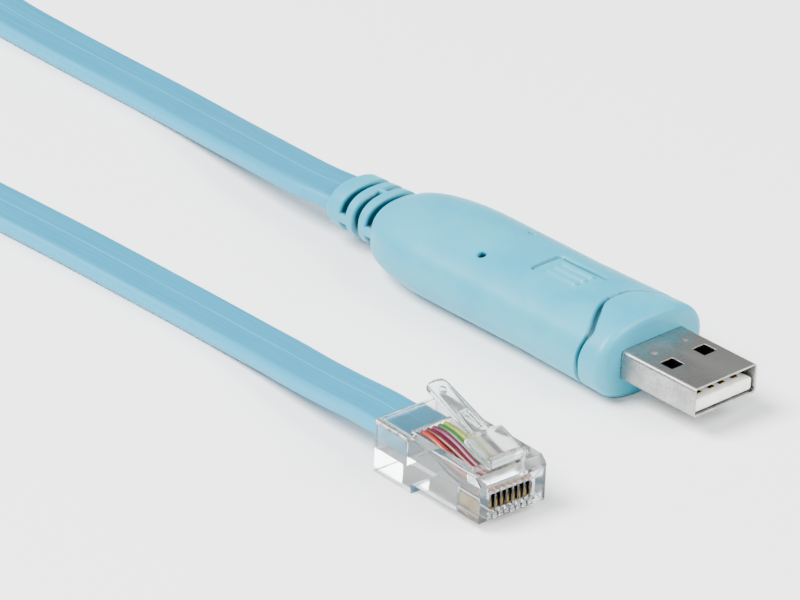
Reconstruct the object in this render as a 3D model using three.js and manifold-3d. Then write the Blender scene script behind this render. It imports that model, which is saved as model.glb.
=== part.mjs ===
// USB console cable: a moulded USB plug, a flat eight-wire cable and a clear modular plug with a latch.
// Millimetres, +Z up. The origin is at the bottom centre of the moulded USB plug, which points along +X.
import * as THREE from 'three';
import { mergeVertices } from 'three/addons/utils/BufferGeometryUtils.js';
import Module from 'manifold-3d';

const wasm = await Module();
wasm.setup();

// Clearances between pieces that touch
const FIT_GAP = 0.3;
const SEAT_GAP = 0.2;
const CUT_MARGIN = 1;

// USB plug shell, a folded sheet open at both ends
const SHELL_WIDTH = 12;
const SHELL_HEIGHT = 4.5;
const SHELL_WALL = 0.3;
const SHELL_EXPOSED = 14.1;
const SHELL_BURIED = 5;
const SHELL_CORNER = 0.6;
const SHELL_WINDOW = 2.4;
const SHELL_WINDOW_SETBACK = 7.3;
const SHELL_WINDOW_OFFSET = 3.15;

// Insulating tongue inside the shell
const TONGUE_THICKNESS = 1.9;
const TONGUE_SETBACK = 0.4;
const TONGUE_FREE_LENGTH = 11.5;
const PAD_WIDTH = 1;
const PAD_THICKNESS = 0.3;
const PAD_SETBACK = 1.2;
const PAD_LENGTH = 7.5;
const PAD_GROOVE_DEPTH = 0.4;
const PAD_OFFSETS = [-3.5, -1, 1, 3.5];

// Moulded housing, a soft oval block that narrows to a slotted strain relief
const HOUSING_WIDTH = 19.4;
const HOUSING_THICKNESS = 11.3;
const HOUSING_UNDERCUT = 0.1;
const HOUSING_LENGTH = 49.4;
const HOUSING_ROUNDNESS = 2.4;
const HOUSING_BODY = 36;
const NOSE_FILLET = 1.3;
// How much wider and taller each half of the section is at the nose than at mid-length
const NOSE_SWELL = 0.4;
const NOSE_STEPS = 5;
const SHOULDER_STEPS = 8;
const SECTION_POINTS = 40;

const GROOVE_WIDTH = 0.6;
const GROOVE_DEPTH = 0.6;
const GROOVE_WALL = 0.05;
// Angle from the crown in degrees, and the groove's distance behind the nose
const GROOVE_STOPS = [[0, 7.5], [60, 4.3], [95, 4.7], [150, 5.2], [180, 5.2]];

const LAMP_RADIUS = 0.6;
const LAMP_SETBACK = 28.6;
const LAMP_OFFSET = 5;
const LAMP_DEPTH = 2.5;
const LAMP_SIDES = 12;

const PANEL_SETBACK = 11.5;
const PANEL_LENGTH = 9.7;
const PANEL_WIDTH = 6.2;
const PANEL_DEPTH = 0.4;
const PANEL_BAR_WIDTH = 0.8;
const PANEL_BAR_LENGTH = 6;
const PANEL_BAR_PITCH = 1.6;
const PANEL_BAR_COUNT = 3;

const RELIEF_LENGTH = 10.3;
const RELIEF_WIDTH = 10.8;
const RELIEF_THICKNESS = 7.6;
const RELIEF_END_WIDTH = 10.4;
const RELIEF_END_THICKNESS = 6.8;
const RELIEF_END_ROUND = 0.8;
const RELIEF_SLOT_WIDTH = 1.3;
const RELIEF_SLOT_DEPTH = 1.2;
const RELIEF_SLOT_PITCH = 2.65;
const RELIEF_SLOT_FIRST = 1.4;
const RELIEF_SIDE_BRIDGE_LOW = -1.1;
const RELIEF_SIDE_BRIDGE_HIGH = 0.4;
const RELIEF_CROWN_BRIDGE = 0.6;

// Flat cable and the hank that holds its spare length, wound on edge in two layers
const CABLE_WIDTH = 8.6;
const CABLE_THICKNESS = 2.5;
const CABLE_CORNER = 1.1;
const CABLE_FLOOR_GAP = 0.05;
const HANK_CENTRE = [-197, -14.2];
const HANK_RUN = 70;
const HANK_OUTER_RADIUS = 24.5;
const HANK_LANES = 2.75;
const HANK_LANE_PITCH = 3.1;
const HANK_LAYER_PITCH = 8.8;
const HANK_LAYERS = 2;
const HANK_ARC_STEPS = 14;
const TIE_WIDTH = 8;
const TIE_THICKNESS = 0.8;
const TIE_CORNER = 1.5;

// Clear modular plug, in its own frame: origin under the front face, pointing along +X
const PLUG_PLACE = [37.5, -40.74];
const PLUG_YAW = -3.04;
const PLUG_WIDTH = 11.68;
const PLUG_LENGTH = 21.46;
const PLUG_HEIGHT = 8;
const PLUG_NOSE_HEIGHT = 6.6;
const PLUG_HEEL_LENGTH = 7.8;
const PLUG_CHAMFER = 1;
const CABLE_HEIGHT_IN_PLUG = 5;
const JACKET_CLEARANCE = 0.6;
const JACKET_DEPTH = 5.2;
const WIRE_COUNT = 8;
const WIRE_PITCH = 1.02;
const WIRE_DIAMETER = 0.8;
const WIRE_HEIGHT = 5.3;
const WIRE_SETBACK = 1.3;
const WIRE_SIDES = 8;
const WIRE_ROOM = 0.4;
const FRONT_WALL = 1;
const NOSE_BLOCK_LENGTH = 3.6;
const CONTACT_THICKNESS = 0.32;
const CONTACT_LENGTH = 4.9;
const CONTACT_SETBACK = 0.35;
const CONTACT_RECESS = 0.35;
const CONTACT_RADIUS = 0.7;
const CONTACT_SLOT_WIDTH = 0.7;
const FRONT_RIM_HEIGHT = 0.9;
const FRONT_RIM_DEPTH = 0.9;

const LATCH_WIDTH = 6.6;
const LATCH_TAIL_WIDTH = 3.4;
const LATCH_THICKNESS = 1.1;
const LATCH_WIDE_LENGTH = 4.9;
const LATCH_LENGTH = 15.8;
const LATCH_SETBACK = 1.9;
const LATCH_SLOPE = 18;
const LATCH_SHOULDER = 0.6;

// Places worked out from the sizes above
const objectLength = HOUSING_LENGTH + RELIEF_LENGTH + SHELL_EXPOSED;
const tipX = objectLength / 2;
const noseX = tipX - SHELL_EXPOSED;
const reliefX = noseX - HOUSING_LENGTH;
const tailX = reliefX - RELIEF_LENGTH;
const halfThickness = (HOUSING_THICKNESS + HOUSING_UNDERCUT) / 2;
const midZ = HOUSING_THICKNESS - halfThickness;
const hankFloor = TIE_THICKNESS + FIT_GAP;
const hankHeight = HANK_LAYER_PITCH * HANK_LAYERS;
const hankInnerRadius = HANK_OUTER_RADIUS - HANK_LANES * HANK_LANE_PITCH;

function solidOf(geometry) {
  const bare = geometry.clone();
  bare.deleteAttribute('normal');
  bare.deleteAttribute('uv');
  const merged = mergeVertices(bare, 1e-5);
  return new wasm.Manifold(new wasm.Mesh({
    numProp: 3,
    vertProperties: new Float32Array(merged.attributes.position.array),
    triVerts: new Uint32Array(merged.index.array),
  }));
}

function geometryOf(solid) {
  const mesh = solid.getMesh();
  const geometry = new THREE.BufferGeometry();
  geometry.setAttribute('position', new THREE.BufferAttribute(new Float32Array(mesh.vertProperties), 3));
  geometry.setIndex(new THREE.BufferAttribute(new Uint32Array(mesh.triVerts), 1));
  geometry.computeVertexNormals();
  return geometry;
}

// A box between two corners
function boxBetween(low, high) {
  const geometry = new THREE.BoxGeometry(high[0] - low[0], high[1] - low[1], high[2] - low[2]);
  return geometry.translate((low[0] + high[0]) / 2, (low[1] + high[1]) / 2, (low[2] + high[2]) / 2);
}

function roundedRectangle(width, height, radius, path = new THREE.Shape()) {
  const x = width / 2 - radius;
  const y = height / 2 - radius;
  path.moveTo(x, -y - radius);
  path.absarc(x, -y, radius, -Math.PI / 2, 0, false);
  path.absarc(x, y, radius, 0, Math.PI / 2, false);
  path.absarc(-x, y, radius, Math.PI / 2, Math.PI, false);
  path.absarc(-x, -y, radius, Math.PI, 1.5 * Math.PI, false);
  path.closePath();
  return path;
}

// A section drawn across Y and Z, carried from one X to another
function alongX(section, fromX, toX, centreZ, curveSegments = 3) {
  const geometry = new THREE.ExtrudeGeometry(section, {
    depth: toX - fromX, bevelEnabled: false, curveSegments,
  });
  geometry.applyMatrix4(new THREE.Matrix4().makeBasis(
    new THREE.Vector3(0, 1, 0), new THREE.Vector3(0, 0, 1), new THREE.Vector3(1, 0, 0)));
  return geometry.translate(fromX, 0, centreZ);
}

// A side outline drawn across X and Z, as wide as asked, centred on a Y
function acrossY(outline, width, centreY = 0, curveSegments = 4) {
  const geometry = new THREE.ExtrudeGeometry(outline, { depth: width, bevelEnabled: false, curveSegments });
  geometry.rotateX(Math.PI / 2);
  return geometry.translate(0, centreY + width / 2, 0);
}

// A skin through rings of equal point counts, closed by a fan at each end
function loft(rings) {
  const count = rings[0].length;
  const positions = rings.flat().flatMap((point) => point.toArray());
  const index = [];
  for (let ring = 0; ring < rings.length - 1; ring += 1) {
    for (let k = 0; k < count; k += 1) {
      const here = ring * count + k;
      const beside = ring * count + ((k + 1) % count);
      index.push(here, here + count, beside);
      index.push(beside, here + count, beside + count);
    }
  }
  const last = (rings.length - 1) * count;
  for (let k = 1; k < count - 1; k += 1) {
    index.push(0, k, k + 1);
    index.push(last, last + k + 1, last + k);
  }
  const geometry = new THREE.BufferGeometry();
  geometry.setAttribute('position', new THREE.Float32BufferAttribute(positions, 3));
  geometry.setIndex(index);
  return geometry;
}

// Point k of an oval section whose corners are squarer than an ellipse, flat where it meets the floor
function ovalPoint(k, x, halfWidth, halfHeight) {
  const angle = ((k + 0.5) / SECTION_POINTS) * 2 * Math.PI;
  const power = 2 / HOUSING_ROUNDNESS;
  const y = halfWidth * Math.sign(Math.cos(angle)) * Math.abs(Math.cos(angle)) ** power;
  const z = halfHeight * Math.sign(Math.sin(angle)) * Math.abs(Math.sin(angle)) ** power;
  return new THREE.Vector3(x, y, Math.max(0, midZ + z));
}

function ovalRing(place, halfWidth, halfHeight) {
  return Array.from({ length: SECTION_POINTS }, (_, k) => (
    ovalPoint(k, typeof place === 'number' ? place : place(k), halfWidth, halfHeight)));
}

// The groove's distance behind the nose at section point k, eased between its stops
function grooveSetback(k) {
  const angle = ((k + 0.5) / SECTION_POINTS) * 360;
  const turned = Math.abs(((angle - 90 + 540) % 360) - 180);
  const next = Math.max(1, GROOVE_STOPS.findIndex(([stop]) => stop >= turned));
  const [fromAngle, from] = GROOVE_STOPS[next - 1];
  const [toAngle, to] = GROOVE_STOPS[next];
  return from + (to - from) * THREE.MathUtils.smoothstep(turned, fromAngle, toAngle);
}

function housingRings() {
  const shoulderX = noseX - HOUSING_BODY;
  const middleX = (noseX + shoulderX) / 2;
  const swell = (x) => NOSE_SWELL * Math.max(0, (x - middleX) / (noseX - middleX));
  const halfWidth = HOUSING_WIDTH / 2;
  const noseWidth = halfWidth + NOSE_SWELL;
  const noseHeight = halfThickness + NOSE_SWELL;
  const rings = [];
  for (let step = 0; step <= NOSE_STEPS; step += 1) {
    const turn = (step / NOSE_STEPS) * (Math.PI / 2);
    const inset = NOSE_FILLET * (1 - Math.sin(turn));
    const ringX = noseX - NOSE_FILLET * (1 - Math.cos(turn));
    rings.push(ovalRing(ringX, noseWidth - inset, noseHeight - inset));
  }
  const half = GROOVE_WIDTH / 2;
  const grooveProfile = [[half, 0], [half - GROOVE_WALL, GROOVE_DEPTH],
    [GROOVE_WALL - half, GROOVE_DEPTH], [-half, 0]];
  for (const [ahead, inset] of grooveProfile) {
    const grown = swell(noseX - GROOVE_STOPS[1][1]) - inset;
    rings.push(ovalRing((k) => noseX - grooveSetback(k) + ahead, halfWidth + grown, halfThickness + grown));
  }
  const shoulderLength = HOUSING_LENGTH - HOUSING_BODY;
  rings.push(ovalRing(middleX, halfWidth, halfThickness));
  for (let step = 0; step <= SHOULDER_STEPS; step += 1) {
    const turn = (step / SHOULDER_STEPS) * (Math.PI / 2);
    const share = Math.cos(turn);
    rings.push(ovalRing(
      shoulderX - shoulderLength * Math.sin(turn),
      RELIEF_WIDTH / 2 + (halfWidth - RELIEF_WIDTH / 2) * share,
      RELIEF_THICKNESS / 2 + (halfThickness - RELIEF_THICKNESS / 2) * share));
  }
  for (let step = 0; step <= 2; step += 1) {
    const turn = (step / 2) * (Math.PI / 2);
    const inset = RELIEF_END_ROUND * (1 - Math.cos(turn));
    rings.push(ovalRing(
      tailX + RELIEF_END_ROUND * (1 - Math.sin(turn)),
      RELIEF_END_WIDTH / 2 - inset,
      RELIEF_END_THICKNESS / 2 - inset));
  }
  return rings;
}

// One row of slots in the strain relief: a slab with the core left in, and the bridges beside it
function reliefSlot(x, bridges) {
  const reach = RELIEF_WIDTH / 2 + CUT_MARGIN;
  const from = x - RELIEF_SLOT_WIDTH / 2;
  const to = x + RELIEF_SLOT_WIDTH / 2;
  const share = (reliefX - x) / RELIEF_LENGTH;
  const { lerp } = THREE.MathUtils;
  const coreWidth = lerp(RELIEF_WIDTH, RELIEF_END_WIDTH, share) / 2 - RELIEF_SLOT_DEPTH;
  const coreHeight = lerp(RELIEF_THICKNESS, RELIEF_END_THICKNESS, share) / 2 - RELIEF_SLOT_DEPTH;
  const coreEnds = [to + CUT_MARGIN, from - CUT_MARGIN];
  const core = loft(coreEnds.map((place) => ovalRing(place, coreWidth, coreHeight)));
  const slab = boxBetween([from, -reach, midZ - reach], [to, reach, midZ + reach]);
  let slot = solidOf(slab).subtract(solidOf(core));
  for (const [lowY, highY, lowZ, highZ] of bridges) {
    slot = slot.subtract(solidOf(boxBetween(
      [from - CUT_MARGIN, lowY, midZ + lowZ], [to + CUT_MARGIN, highY, midZ + highZ])));
  }
  return slot;
}

function housingGeometry() {
  let housing = solidOf(loft(housingRings()));
  const pocket = roundedRectangle(
    SHELL_WIDTH + 2 * FIT_GAP, SHELL_HEIGHT + 2 * FIT_GAP, SHELL_CORNER + FIT_GAP);
  const pocketRear = noseX - SHELL_BURIED - FIT_GAP;
  housing = housing.subtract(solidOf(alongX(pocket, pocketRear, noseX + CUT_MARGIN, midZ)));

  const topZ = HOUSING_THICKNESS;
  const panelFront = noseX - PANEL_SETBACK;
  let panel = solidOf(boxBetween(
    [panelFront - PANEL_LENGTH, -PANEL_WIDTH / 2, topZ - PANEL_DEPTH],
    [panelFront, PANEL_WIDTH / 2, topZ + CUT_MARGIN]));
  for (let bar = 0; bar < PANEL_BAR_COUNT; bar += 1) {
    const y = (bar - (PANEL_BAR_COUNT - 1) / 2) * PANEL_BAR_PITCH;
    const barX = panelFront - PANEL_LENGTH / 2;
    panel = panel.subtract(solidOf(boxBetween(
      [barX - PANEL_BAR_LENGTH / 2, y - PANEL_BAR_WIDTH / 2, topZ - 2 * PANEL_DEPTH],
      [barX + PANEL_BAR_LENGTH / 2, y + PANEL_BAR_WIDTH / 2, topZ + 2 * CUT_MARGIN])));
  }
  housing = housing.subtract(panel);

  for (const side of [-1, 1]) {
    const lamp = new THREE.CylinderGeometry(LAMP_RADIUS, LAMP_RADIUS, 2 * LAMP_DEPTH, LAMP_SIDES);
    lamp.rotateX(Math.PI / 2).translate(noseX - LAMP_SETBACK, side * LAMP_OFFSET, topZ);
    housing = housing.subtract(solidOf(lamp));
  }

  const far = RELIEF_WIDTH;
  const sideStart = RELIEF_WIDTH / 2 - 2 * RELIEF_SLOT_DEPTH;
  const sideBridges = [-1, 1].flatMap((side) => {
    const low = side < 0 ? -far : sideStart;
    const high = side < 0 ? -sideStart : far;
    return [[low, high, RELIEF_SIDE_BRIDGE_LOW, RELIEF_SIDE_BRIDGE_HIGH]];
  });
  const middleBridges = [[-RELIEF_CROWN_BRIDGE / 2, RELIEF_CROWN_BRIDGE / 2, -far, far]];
  [sideBridges, middleBridges, sideBridges].forEach((bridges, row) => {
    housing = housing.subtract(reliefSlot(reliefX - RELIEF_SLOT_FIRST - row * RELIEF_SLOT_PITCH, bridges));
  });
  return geometryOf(housing);
}

function shellGeometry() {
  const section = roundedRectangle(SHELL_WIDTH, SHELL_HEIGHT, SHELL_CORNER);
  section.holes.push(roundedRectangle(
    SHELL_WIDTH - 2 * SHELL_WALL,
    SHELL_HEIGHT - 2 * SHELL_WALL,
    SHELL_CORNER - SHELL_WALL,
    new THREE.Path()));
  let shell = solidOf(alongX(section, noseX - SHELL_BURIED, tipX, midZ));
  const windowX = tipX - SHELL_WINDOW_SETBACK;
  for (const side of [-1, 1]) {
    const y = side * SHELL_WINDOW_OFFSET;
    shell = shell.subtract(solidOf(boxBetween(
      [windowX - SHELL_WINDOW / 2, y - SHELL_WINDOW / 2, midZ - SHELL_HEIGHT],
      [windowX + SHELL_WINDOW / 2, y + SHELL_WINDOW / 2, midZ + SHELL_HEIGHT])));
  }
  return geometryOf(shell);
}

const tongueWidth = SHELL_WIDTH - 2 * SHELL_WALL - 2 * SEAT_GAP;
const tongueBottom = midZ - SHELL_HEIGHT / 2 + SHELL_WALL + SEAT_GAP;
const tongueTop = tongueBottom + TONGUE_THICKNESS;
const tongueFront = tipX - TONGUE_SETBACK;

function tongueGeometry() {
  const blockTop = midZ + SHELL_HEIGHT / 2 - SHELL_WALL - SEAT_GAP;
  const outline = new THREE.Shape([
    new THREE.Vector2(noseX - SHELL_BURIED, tongueBottom),
    new THREE.Vector2(tongueFront, tongueBottom),
    new THREE.Vector2(tongueFront, tongueTop),
    new THREE.Vector2(tongueFront - TONGUE_FREE_LENGTH, tongueTop),
    new THREE.Vector2(tongueFront - TONGUE_FREE_LENGTH, blockTop),
    new THREE.Vector2(noseX - SHELL_BURIED, blockTop),
  ]);
  let tongue = solidOf(acrossY(outline, tongueWidth));
  const grooveRear = tongueFront - PAD_SETBACK - PAD_LENGTH - SEAT_GAP;
  const grooveFront = tongueFront - PAD_SETBACK + SEAT_GAP;
  const grooveHalf = PAD_WIDTH / 2 + SEAT_GAP;
  for (const y of PAD_OFFSETS) {
    tongue = tongue.subtract(solidOf(boxBetween(
      [grooveRear, y - grooveHalf, tongueTop - PAD_GROOVE_DEPTH],
      [grooveFront, y + grooveHalf, tongueTop + CUT_MARGIN])));
  }
  return geometryOf(tongue);
}

function padGeometry(y) {
  const bottom = tongueTop - PAD_GROOVE_DEPTH + SEAT_GAP;
  return boxBetween(
    [tongueFront - PAD_SETBACK - PAD_LENGTH, y - PAD_WIDTH / 2, bottom],
    [tongueFront - PAD_SETBACK, y + PAD_WIDTH / 2, bottom + PAD_THICKNESS]);
}

// A route whose cross-section stays level, then rolls about the route between two shares of its length
class RibbonRoute extends THREE.CatmullRomCurve3 {
  constructor(points, rollFrom, rollTo) {
    super(points, false, 'centripetal');
    this.rollFrom = rollFrom;
    this.rollTo = rollTo;
  }

  computeFrenetFrames(segments) {
    const frames = { tangents: [], normals: [], binormals: [] };
    for (let step = 0; step <= segments; step += 1) {
      const share = step / segments;
      const tangent = this.getTangentAt(share);
      const across = new THREE.Vector3(-tangent.y, tangent.x, 0).normalize();
      const roll = (Math.PI / 2) * THREE.MathUtils.smoothstep(share, this.rollFrom, this.rollTo);
      across.applyAxisAngle(tangent, roll);
      frames.tangents.push(tangent);
      frames.normals.push(across);
      frames.binormals.push(new THREE.Vector3().crossVectors(tangent, across));
    }
    return frames;
  }
}

function cableGeometry(points, rollFrom, steps) {
  const route = new RibbonRoute(points.map((point) => new THREE.Vector3(...point)), rollFrom, 1);
  const section = roundedRectangle(CABLE_WIDTH, CABLE_THICKNESS, CABLE_CORNER);
  return new THREE.ExtrudeGeometry(section, {
    steps, bevelEnabled: false, curveSegments: 2, extrudePath: route,
  });
}

// Heights of the cable's middle line: on the floor, and in the two layers of the hank
const cableRest = CABLE_THICKNESS / 2 + CABLE_FLOOR_GAP;
const lowerLayer = hankFloor + HANK_LAYER_PITCH / 2;
const upperLayer = lowerLayer + HANK_LAYER_PITCH;
const topRunY = HANK_CENTRE[1] + HANK_OUTER_RADIUS;
const bottomRunY = HANK_CENTRE[1] - HANK_OUTER_RADIUS;
const hankRightX = HANK_CENTRE[0] + HANK_RUN / 2;
const runOutX = hankRightX + Math.sqrt(2 * HANK_OUTER_RADIUS * CABLE_THICKNESS) + FIT_GAP;

const routeFromUsb = [
  [tailX - FIT_GAP, 0, midZ], [-43.9, -0.2, 5.35], [-50.9, 0.5, 4.85], [-57.9, 1.8, 4], [-65.9, 3.5, 2.85],
  [-73.9, 5, 1.9], [-82.9, 5.9, 1.4], [-93.9, 6.1, cableRest], [-106.9, 6.3, cableRest],
  [-117.9, 6.8, cableRest], [-125.4, 7.3, 1.9], [-131.4, 8, 2.9], [-137.9, 8.9, 4.4], [-144.9, 9.8, 5.2],
  [runOutX, topRunY, lowerLayer],
];

const plugMatrix = new THREE.Matrix4()
  .makeRotationZ(THREE.MathUtils.degToRad(PLUG_YAW))
  .setPosition(PLUG_PLACE[0], PLUG_PLACE[1], 0);
const inPlug = (x) => new THREE.Vector3(x, 0, CABLE_HEIGHT_IN_PLUG).applyMatrix4(plugMatrix).toArray();
const jacketEnd = -PLUG_LENGTH + JACKET_DEPTH;

const routeToPlug = [
  inPlug(jacketEnd), inPlug(-PLUG_LENGTH), [9.1, -39.1, 4.85], [2.6, -38.5, 4.2], [-4.9, -37.4, 3.3],
  [-12.9, -36, 2.4], [-20.9, -35, 1.65], [-29.9, -34.5, 1.35], [-41.9, -34.4, cableRest],
  [-55.9, -34.4, cableRest], [-69.9, -34.7, cableRest], [-81.9, -35.2, 1.4], [-93.9, -35.9, 2.1],
  [-105.9, -36.8, 4], [-117.9, -37.6, 6.9], [-129.9, -38.3, 10], [-139.9, -38.6, 12.4],
  [runOutX, bottomRunY, upperLayer],
];

function racetrack(radius, path = new THREE.Shape()) {
  const half = HANK_RUN / 2;
  path.moveTo(half, -radius);
  path.absarc(half, 0, radius, -Math.PI / 2, Math.PI / 2, false);
  path.absarc(-half, 0, radius, Math.PI / 2, 1.5 * Math.PI, false);
  path.closePath();
  return path;
}

function hankGeometry() {
  const outline = racetrack(HANK_OUTER_RADIUS + CABLE_THICKNESS / 2);
  outline.holes.push(racetrack(hankInnerRadius - CABLE_THICKNESS / 2, new THREE.Path()));
  const geometry = new THREE.ExtrudeGeometry(outline, {
    depth: hankHeight, bevelEnabled: false, curveSegments: HANK_ARC_STEPS,
  });
  return geometry.translate(HANK_CENTRE[0], HANK_CENTRE[1], hankFloor);
}

// A strap round one run of the hank
function tieGeometry(side) {
  const bundleWidth = HANK_OUTER_RADIUS - hankInnerRadius + CABLE_THICKNESS;
  const innerWidth = bundleWidth + 2 * FIT_GAP;
  const innerHeight = hankHeight + 2 * FIT_GAP;
  const section = roundedRectangle(
    innerWidth + 2 * TIE_THICKNESS, innerHeight + 2 * TIE_THICKNESS, TIE_CORNER);
  section.holes.push(roundedRectangle(innerWidth, innerHeight, TIE_CORNER - TIE_THICKNESS, new THREE.Path()));
  const middle = (HANK_OUTER_RADIUS + hankInnerRadius) / 2;
  const geometry = alongX(
    section, HANK_CENTRE[0] - TIE_WIDTH / 2, HANK_CENTRE[0] + TIE_WIDTH / 2, hankFloor + hankHeight / 2);
  return geometry.translate(0, HANK_CENTRE[1] + side * middle, 0);
}

const noseBottom = PLUG_HEIGHT - PLUG_NOSE_HEIGHT;
const rimTop = noseBottom + FRONT_RIM_HEIGHT;
const wireRoomLow = WIRE_HEIGHT - WIRE_DIAMETER / 2 - WIRE_ROOM;
const wireRoomHigh = WIRE_HEIGHT + WIRE_DIAMETER / 2 + WIRE_ROOM;
const wireY = (k) => (k - (WIRE_COUNT - 1) / 2) * WIRE_PITCH;

function plugBodyGeometry() {
  const outline = new THREE.Shape([
    new THREE.Vector2(0, noseBottom),
    new THREE.Vector2(0, PLUG_HEIGHT - PLUG_CHAMFER),
    new THREE.Vector2(-PLUG_CHAMFER, PLUG_HEIGHT),
    new THREE.Vector2(-PLUG_LENGTH, PLUG_HEIGHT),
    new THREE.Vector2(-PLUG_LENGTH, 0),
    new THREE.Vector2(-PLUG_LENGTH + PLUG_HEEL_LENGTH, 0),
    new THREE.Vector2(-PLUG_LENGTH + PLUG_HEEL_LENGTH, noseBottom),
  ]);
  let body = solidOf(acrossY(outline, PLUG_WIDTH));
  const halfRoom = (WIRE_COUNT * WIRE_PITCH) / 2;
  const jacketLow = CABLE_HEIGHT_IN_PLUG - CABLE_THICKNESS / 2 - JACKET_CLEARANCE;
  const jacketHigh = CABLE_HEIGHT_IN_PLUG + CABLE_THICKNESS / 2 + JACKET_CLEARANCE;
  const roofEnd = jacketEnd + SEAT_GAP;
  const halfJacket = CABLE_WIDTH / 2 + FIT_GAP;
  const rooms = [
    [[-PLUG_LENGTH - CUT_MARGIN, -halfJacket, jacketLow], [roofEnd + JACKET_CLEARANCE, halfJacket, jacketHigh]],
    [[roofEnd, -halfRoom, wireRoomLow], [-FRONT_WALL, halfRoom, wireRoomHigh]],
    [[roofEnd, -halfRoom, WIRE_HEIGHT], [-NOSE_BLOCK_LENGTH, halfRoom, PLUG_HEIGHT + CUT_MARGIN]],
  ];
  for (const [low, high] of rooms) {
    body = body.subtract(solidOf(boxBetween(low, high)));
  }
  const slotRear = -CONTACT_SETBACK - CONTACT_LENGTH - FIT_GAP;
  for (let k = 0; k < WIRE_COUNT; k += 1) {
    const from = wireY(k) - CONTACT_SLOT_WIDTH / 2;
    const to = wireY(k) + CONTACT_SLOT_WIDTH / 2;
    const below = boxBetween([slotRear, from, noseBottom - CUT_MARGIN], [-FRONT_RIM_DEPTH, to, WIRE_HEIGHT]);
    const ahead = boxBetween([slotRear, from, rimTop], [CUT_MARGIN, to, WIRE_HEIGHT]);
    body = body.subtract(solidOf(below)).subtract(solidOf(ahead));
  }
  return geometryOf(body);
}

// A contact blade, seen from the side: its front stands over the rim and its heel goes down behind it
function plugContactGeometry(k) {
  const low = noseBottom + CONTACT_RECESS;
  const high = WIRE_HEIGHT - WIRE_DIAMETER / 2 - SEAT_GAP;
  const front = -CONTACT_SETBACK;
  const heel = -FRONT_RIM_DEPTH - FIT_GAP;
  const toe = rimTop + FIT_GAP;
  const outline = new THREE.Shape();
  outline.moveTo(front - CONTACT_LENGTH, low);
  outline.lineTo(heel, low);
  outline.lineTo(heel, toe);
  outline.lineTo(front - CONTACT_RADIUS, toe);
  outline.absarc(front - CONTACT_RADIUS, toe + CONTACT_RADIUS, CONTACT_RADIUS, -Math.PI / 2, 0, false);
  outline.lineTo(front, high);
  outline.lineTo(front - CONTACT_LENGTH, high);
  outline.closePath();
  return acrossY(outline, CONTACT_THICKNESS, wireY(k));
}

function wireGeometry(k) {
  const from = jacketEnd + FIT_GAP;
  const to = -WIRE_SETBACK;
  const geometry = new THREE.CylinderGeometry(WIRE_DIAMETER / 2, WIRE_DIAMETER / 2, to - from, WIRE_SIDES);
  geometry.rotateZ(Math.PI / 2);
  return geometry.translate((from + to) / 2, wireY(k), WIRE_HEIGHT);
}

// The latch lever, drawn flat with its root at x = 0 and then tilted up towards the rear
function latchGeometry() {
  const half = LATCH_WIDTH / 2;
  const tail = LATCH_TAIL_WIDTH / 2;
  const outline = new THREE.Shape();
  outline.moveTo(0, -half);
  outline.lineTo(0, half);
  outline.lineTo(-LATCH_WIDE_LENGTH, half);
  outline.lineTo(-LATCH_WIDE_LENGTH - LATCH_SHOULDER, tail);
  outline.lineTo(-LATCH_LENGTH + tail, tail);
  outline.absarc(-LATCH_LENGTH + tail, 0, tail, Math.PI / 2, 1.5 * Math.PI, false);
  outline.lineTo(-LATCH_WIDE_LENGTH - LATCH_SHOULDER, -tail);
  outline.lineTo(-LATCH_WIDE_LENGTH, -half);
  outline.closePath();
  const geometry = new THREE.ExtrudeGeometry(outline, {
    depth: LATCH_THICKNESS, bevelEnabled: false, curveSegments: 6,
  });
  geometry.rotateY(THREE.MathUtils.degToRad(LATCH_SLOPE));
  return geometry.translate(-LATCH_SETBACK, 0, PLUG_HEIGHT + FIT_GAP);
}

function finish(color, roughness, metalness, opacity = 1) {
  return new THREE.MeshStandardMaterial({ color, roughness, metalness, opacity, transparent: opacity < 1 });
}

const part = new THREE.Group();

function addPiece(name, geometry, material, parent = part) {
  const mesh = new THREE.Mesh(geometry, material);
  mesh.name = name;
  parent.add(mesh);
}

addPiece('usb_housing', housingGeometry(), finish('#6fb3cc', 0.5, 0));
addPiece('usb_shell', shellGeometry(), finish('#a9a9a9', 0.3, 1));
addPiece('usb_tongue', tongueGeometry(), finish('#eeeeea', 0.45, 0));
PAD_OFFSETS.forEach((y, k) => addPiece(`usb_contact_${k + 1}`, padGeometry(y), finish('#c9a24a', 0.3, 1)));

addPiece('cable_from_usb', cableGeometry(routeFromUsb, 0.76, 34), finish('#74b8d0', 0.5, 0));
addPiece('cable_to_plug', cableGeometry(routeToPlug, 0.7, 44), finish('#74b8d0', 0.5, 0));
addPiece('cable_hank', hankGeometry(), finish('#74b8d0', 0.5, 0));
addPiece('hank_tie_1', tieGeometry(1), finish('#1d1d1f', 0.8, 0));
addPiece('hank_tie_2', tieGeometry(-1), finish('#1d1d1f', 0.8, 0));

const plug = new THREE.Group();
plug.applyMatrix4(plugMatrix);
part.add(plug);
addPiece('plug_body', plugBodyGeometry(), finish('#e6ecee', 0.15, 0, 0.4), plug);
addPiece('plug_latch', latchGeometry(), finish('#e6ecee', 0.15, 0, 0.4), plug);
const WIRE_COLORS = ['#8d8f92', '#d9572b', '#9c2320', '#b0307a', '#3f8a3a', '#a9b53a', '#e2e2dc', '#232323'];
for (let k = 0; k < WIRE_COUNT; k += 1) {
  addPiece(`plug_contact_${k + 1}`, plugContactGeometry(k), finish('#d1a640', 0.25, 1), plug);
  addPiece(`plug_wire_${k + 1}`, wireGeometry(k), finish(WIRE_COLORS[k], 0.45, 0), plug);
}

export default part;
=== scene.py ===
"""A console cable dressed for its picture: moulded USB plug, flat cable in a tied hank, clear modular plug.

Sizes in the classes are millimetres, and meshes are in metres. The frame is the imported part's own: the
origin lies under the middle of the moulded plug, which points along +X, and +Z is up.
"""

import sys

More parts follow.
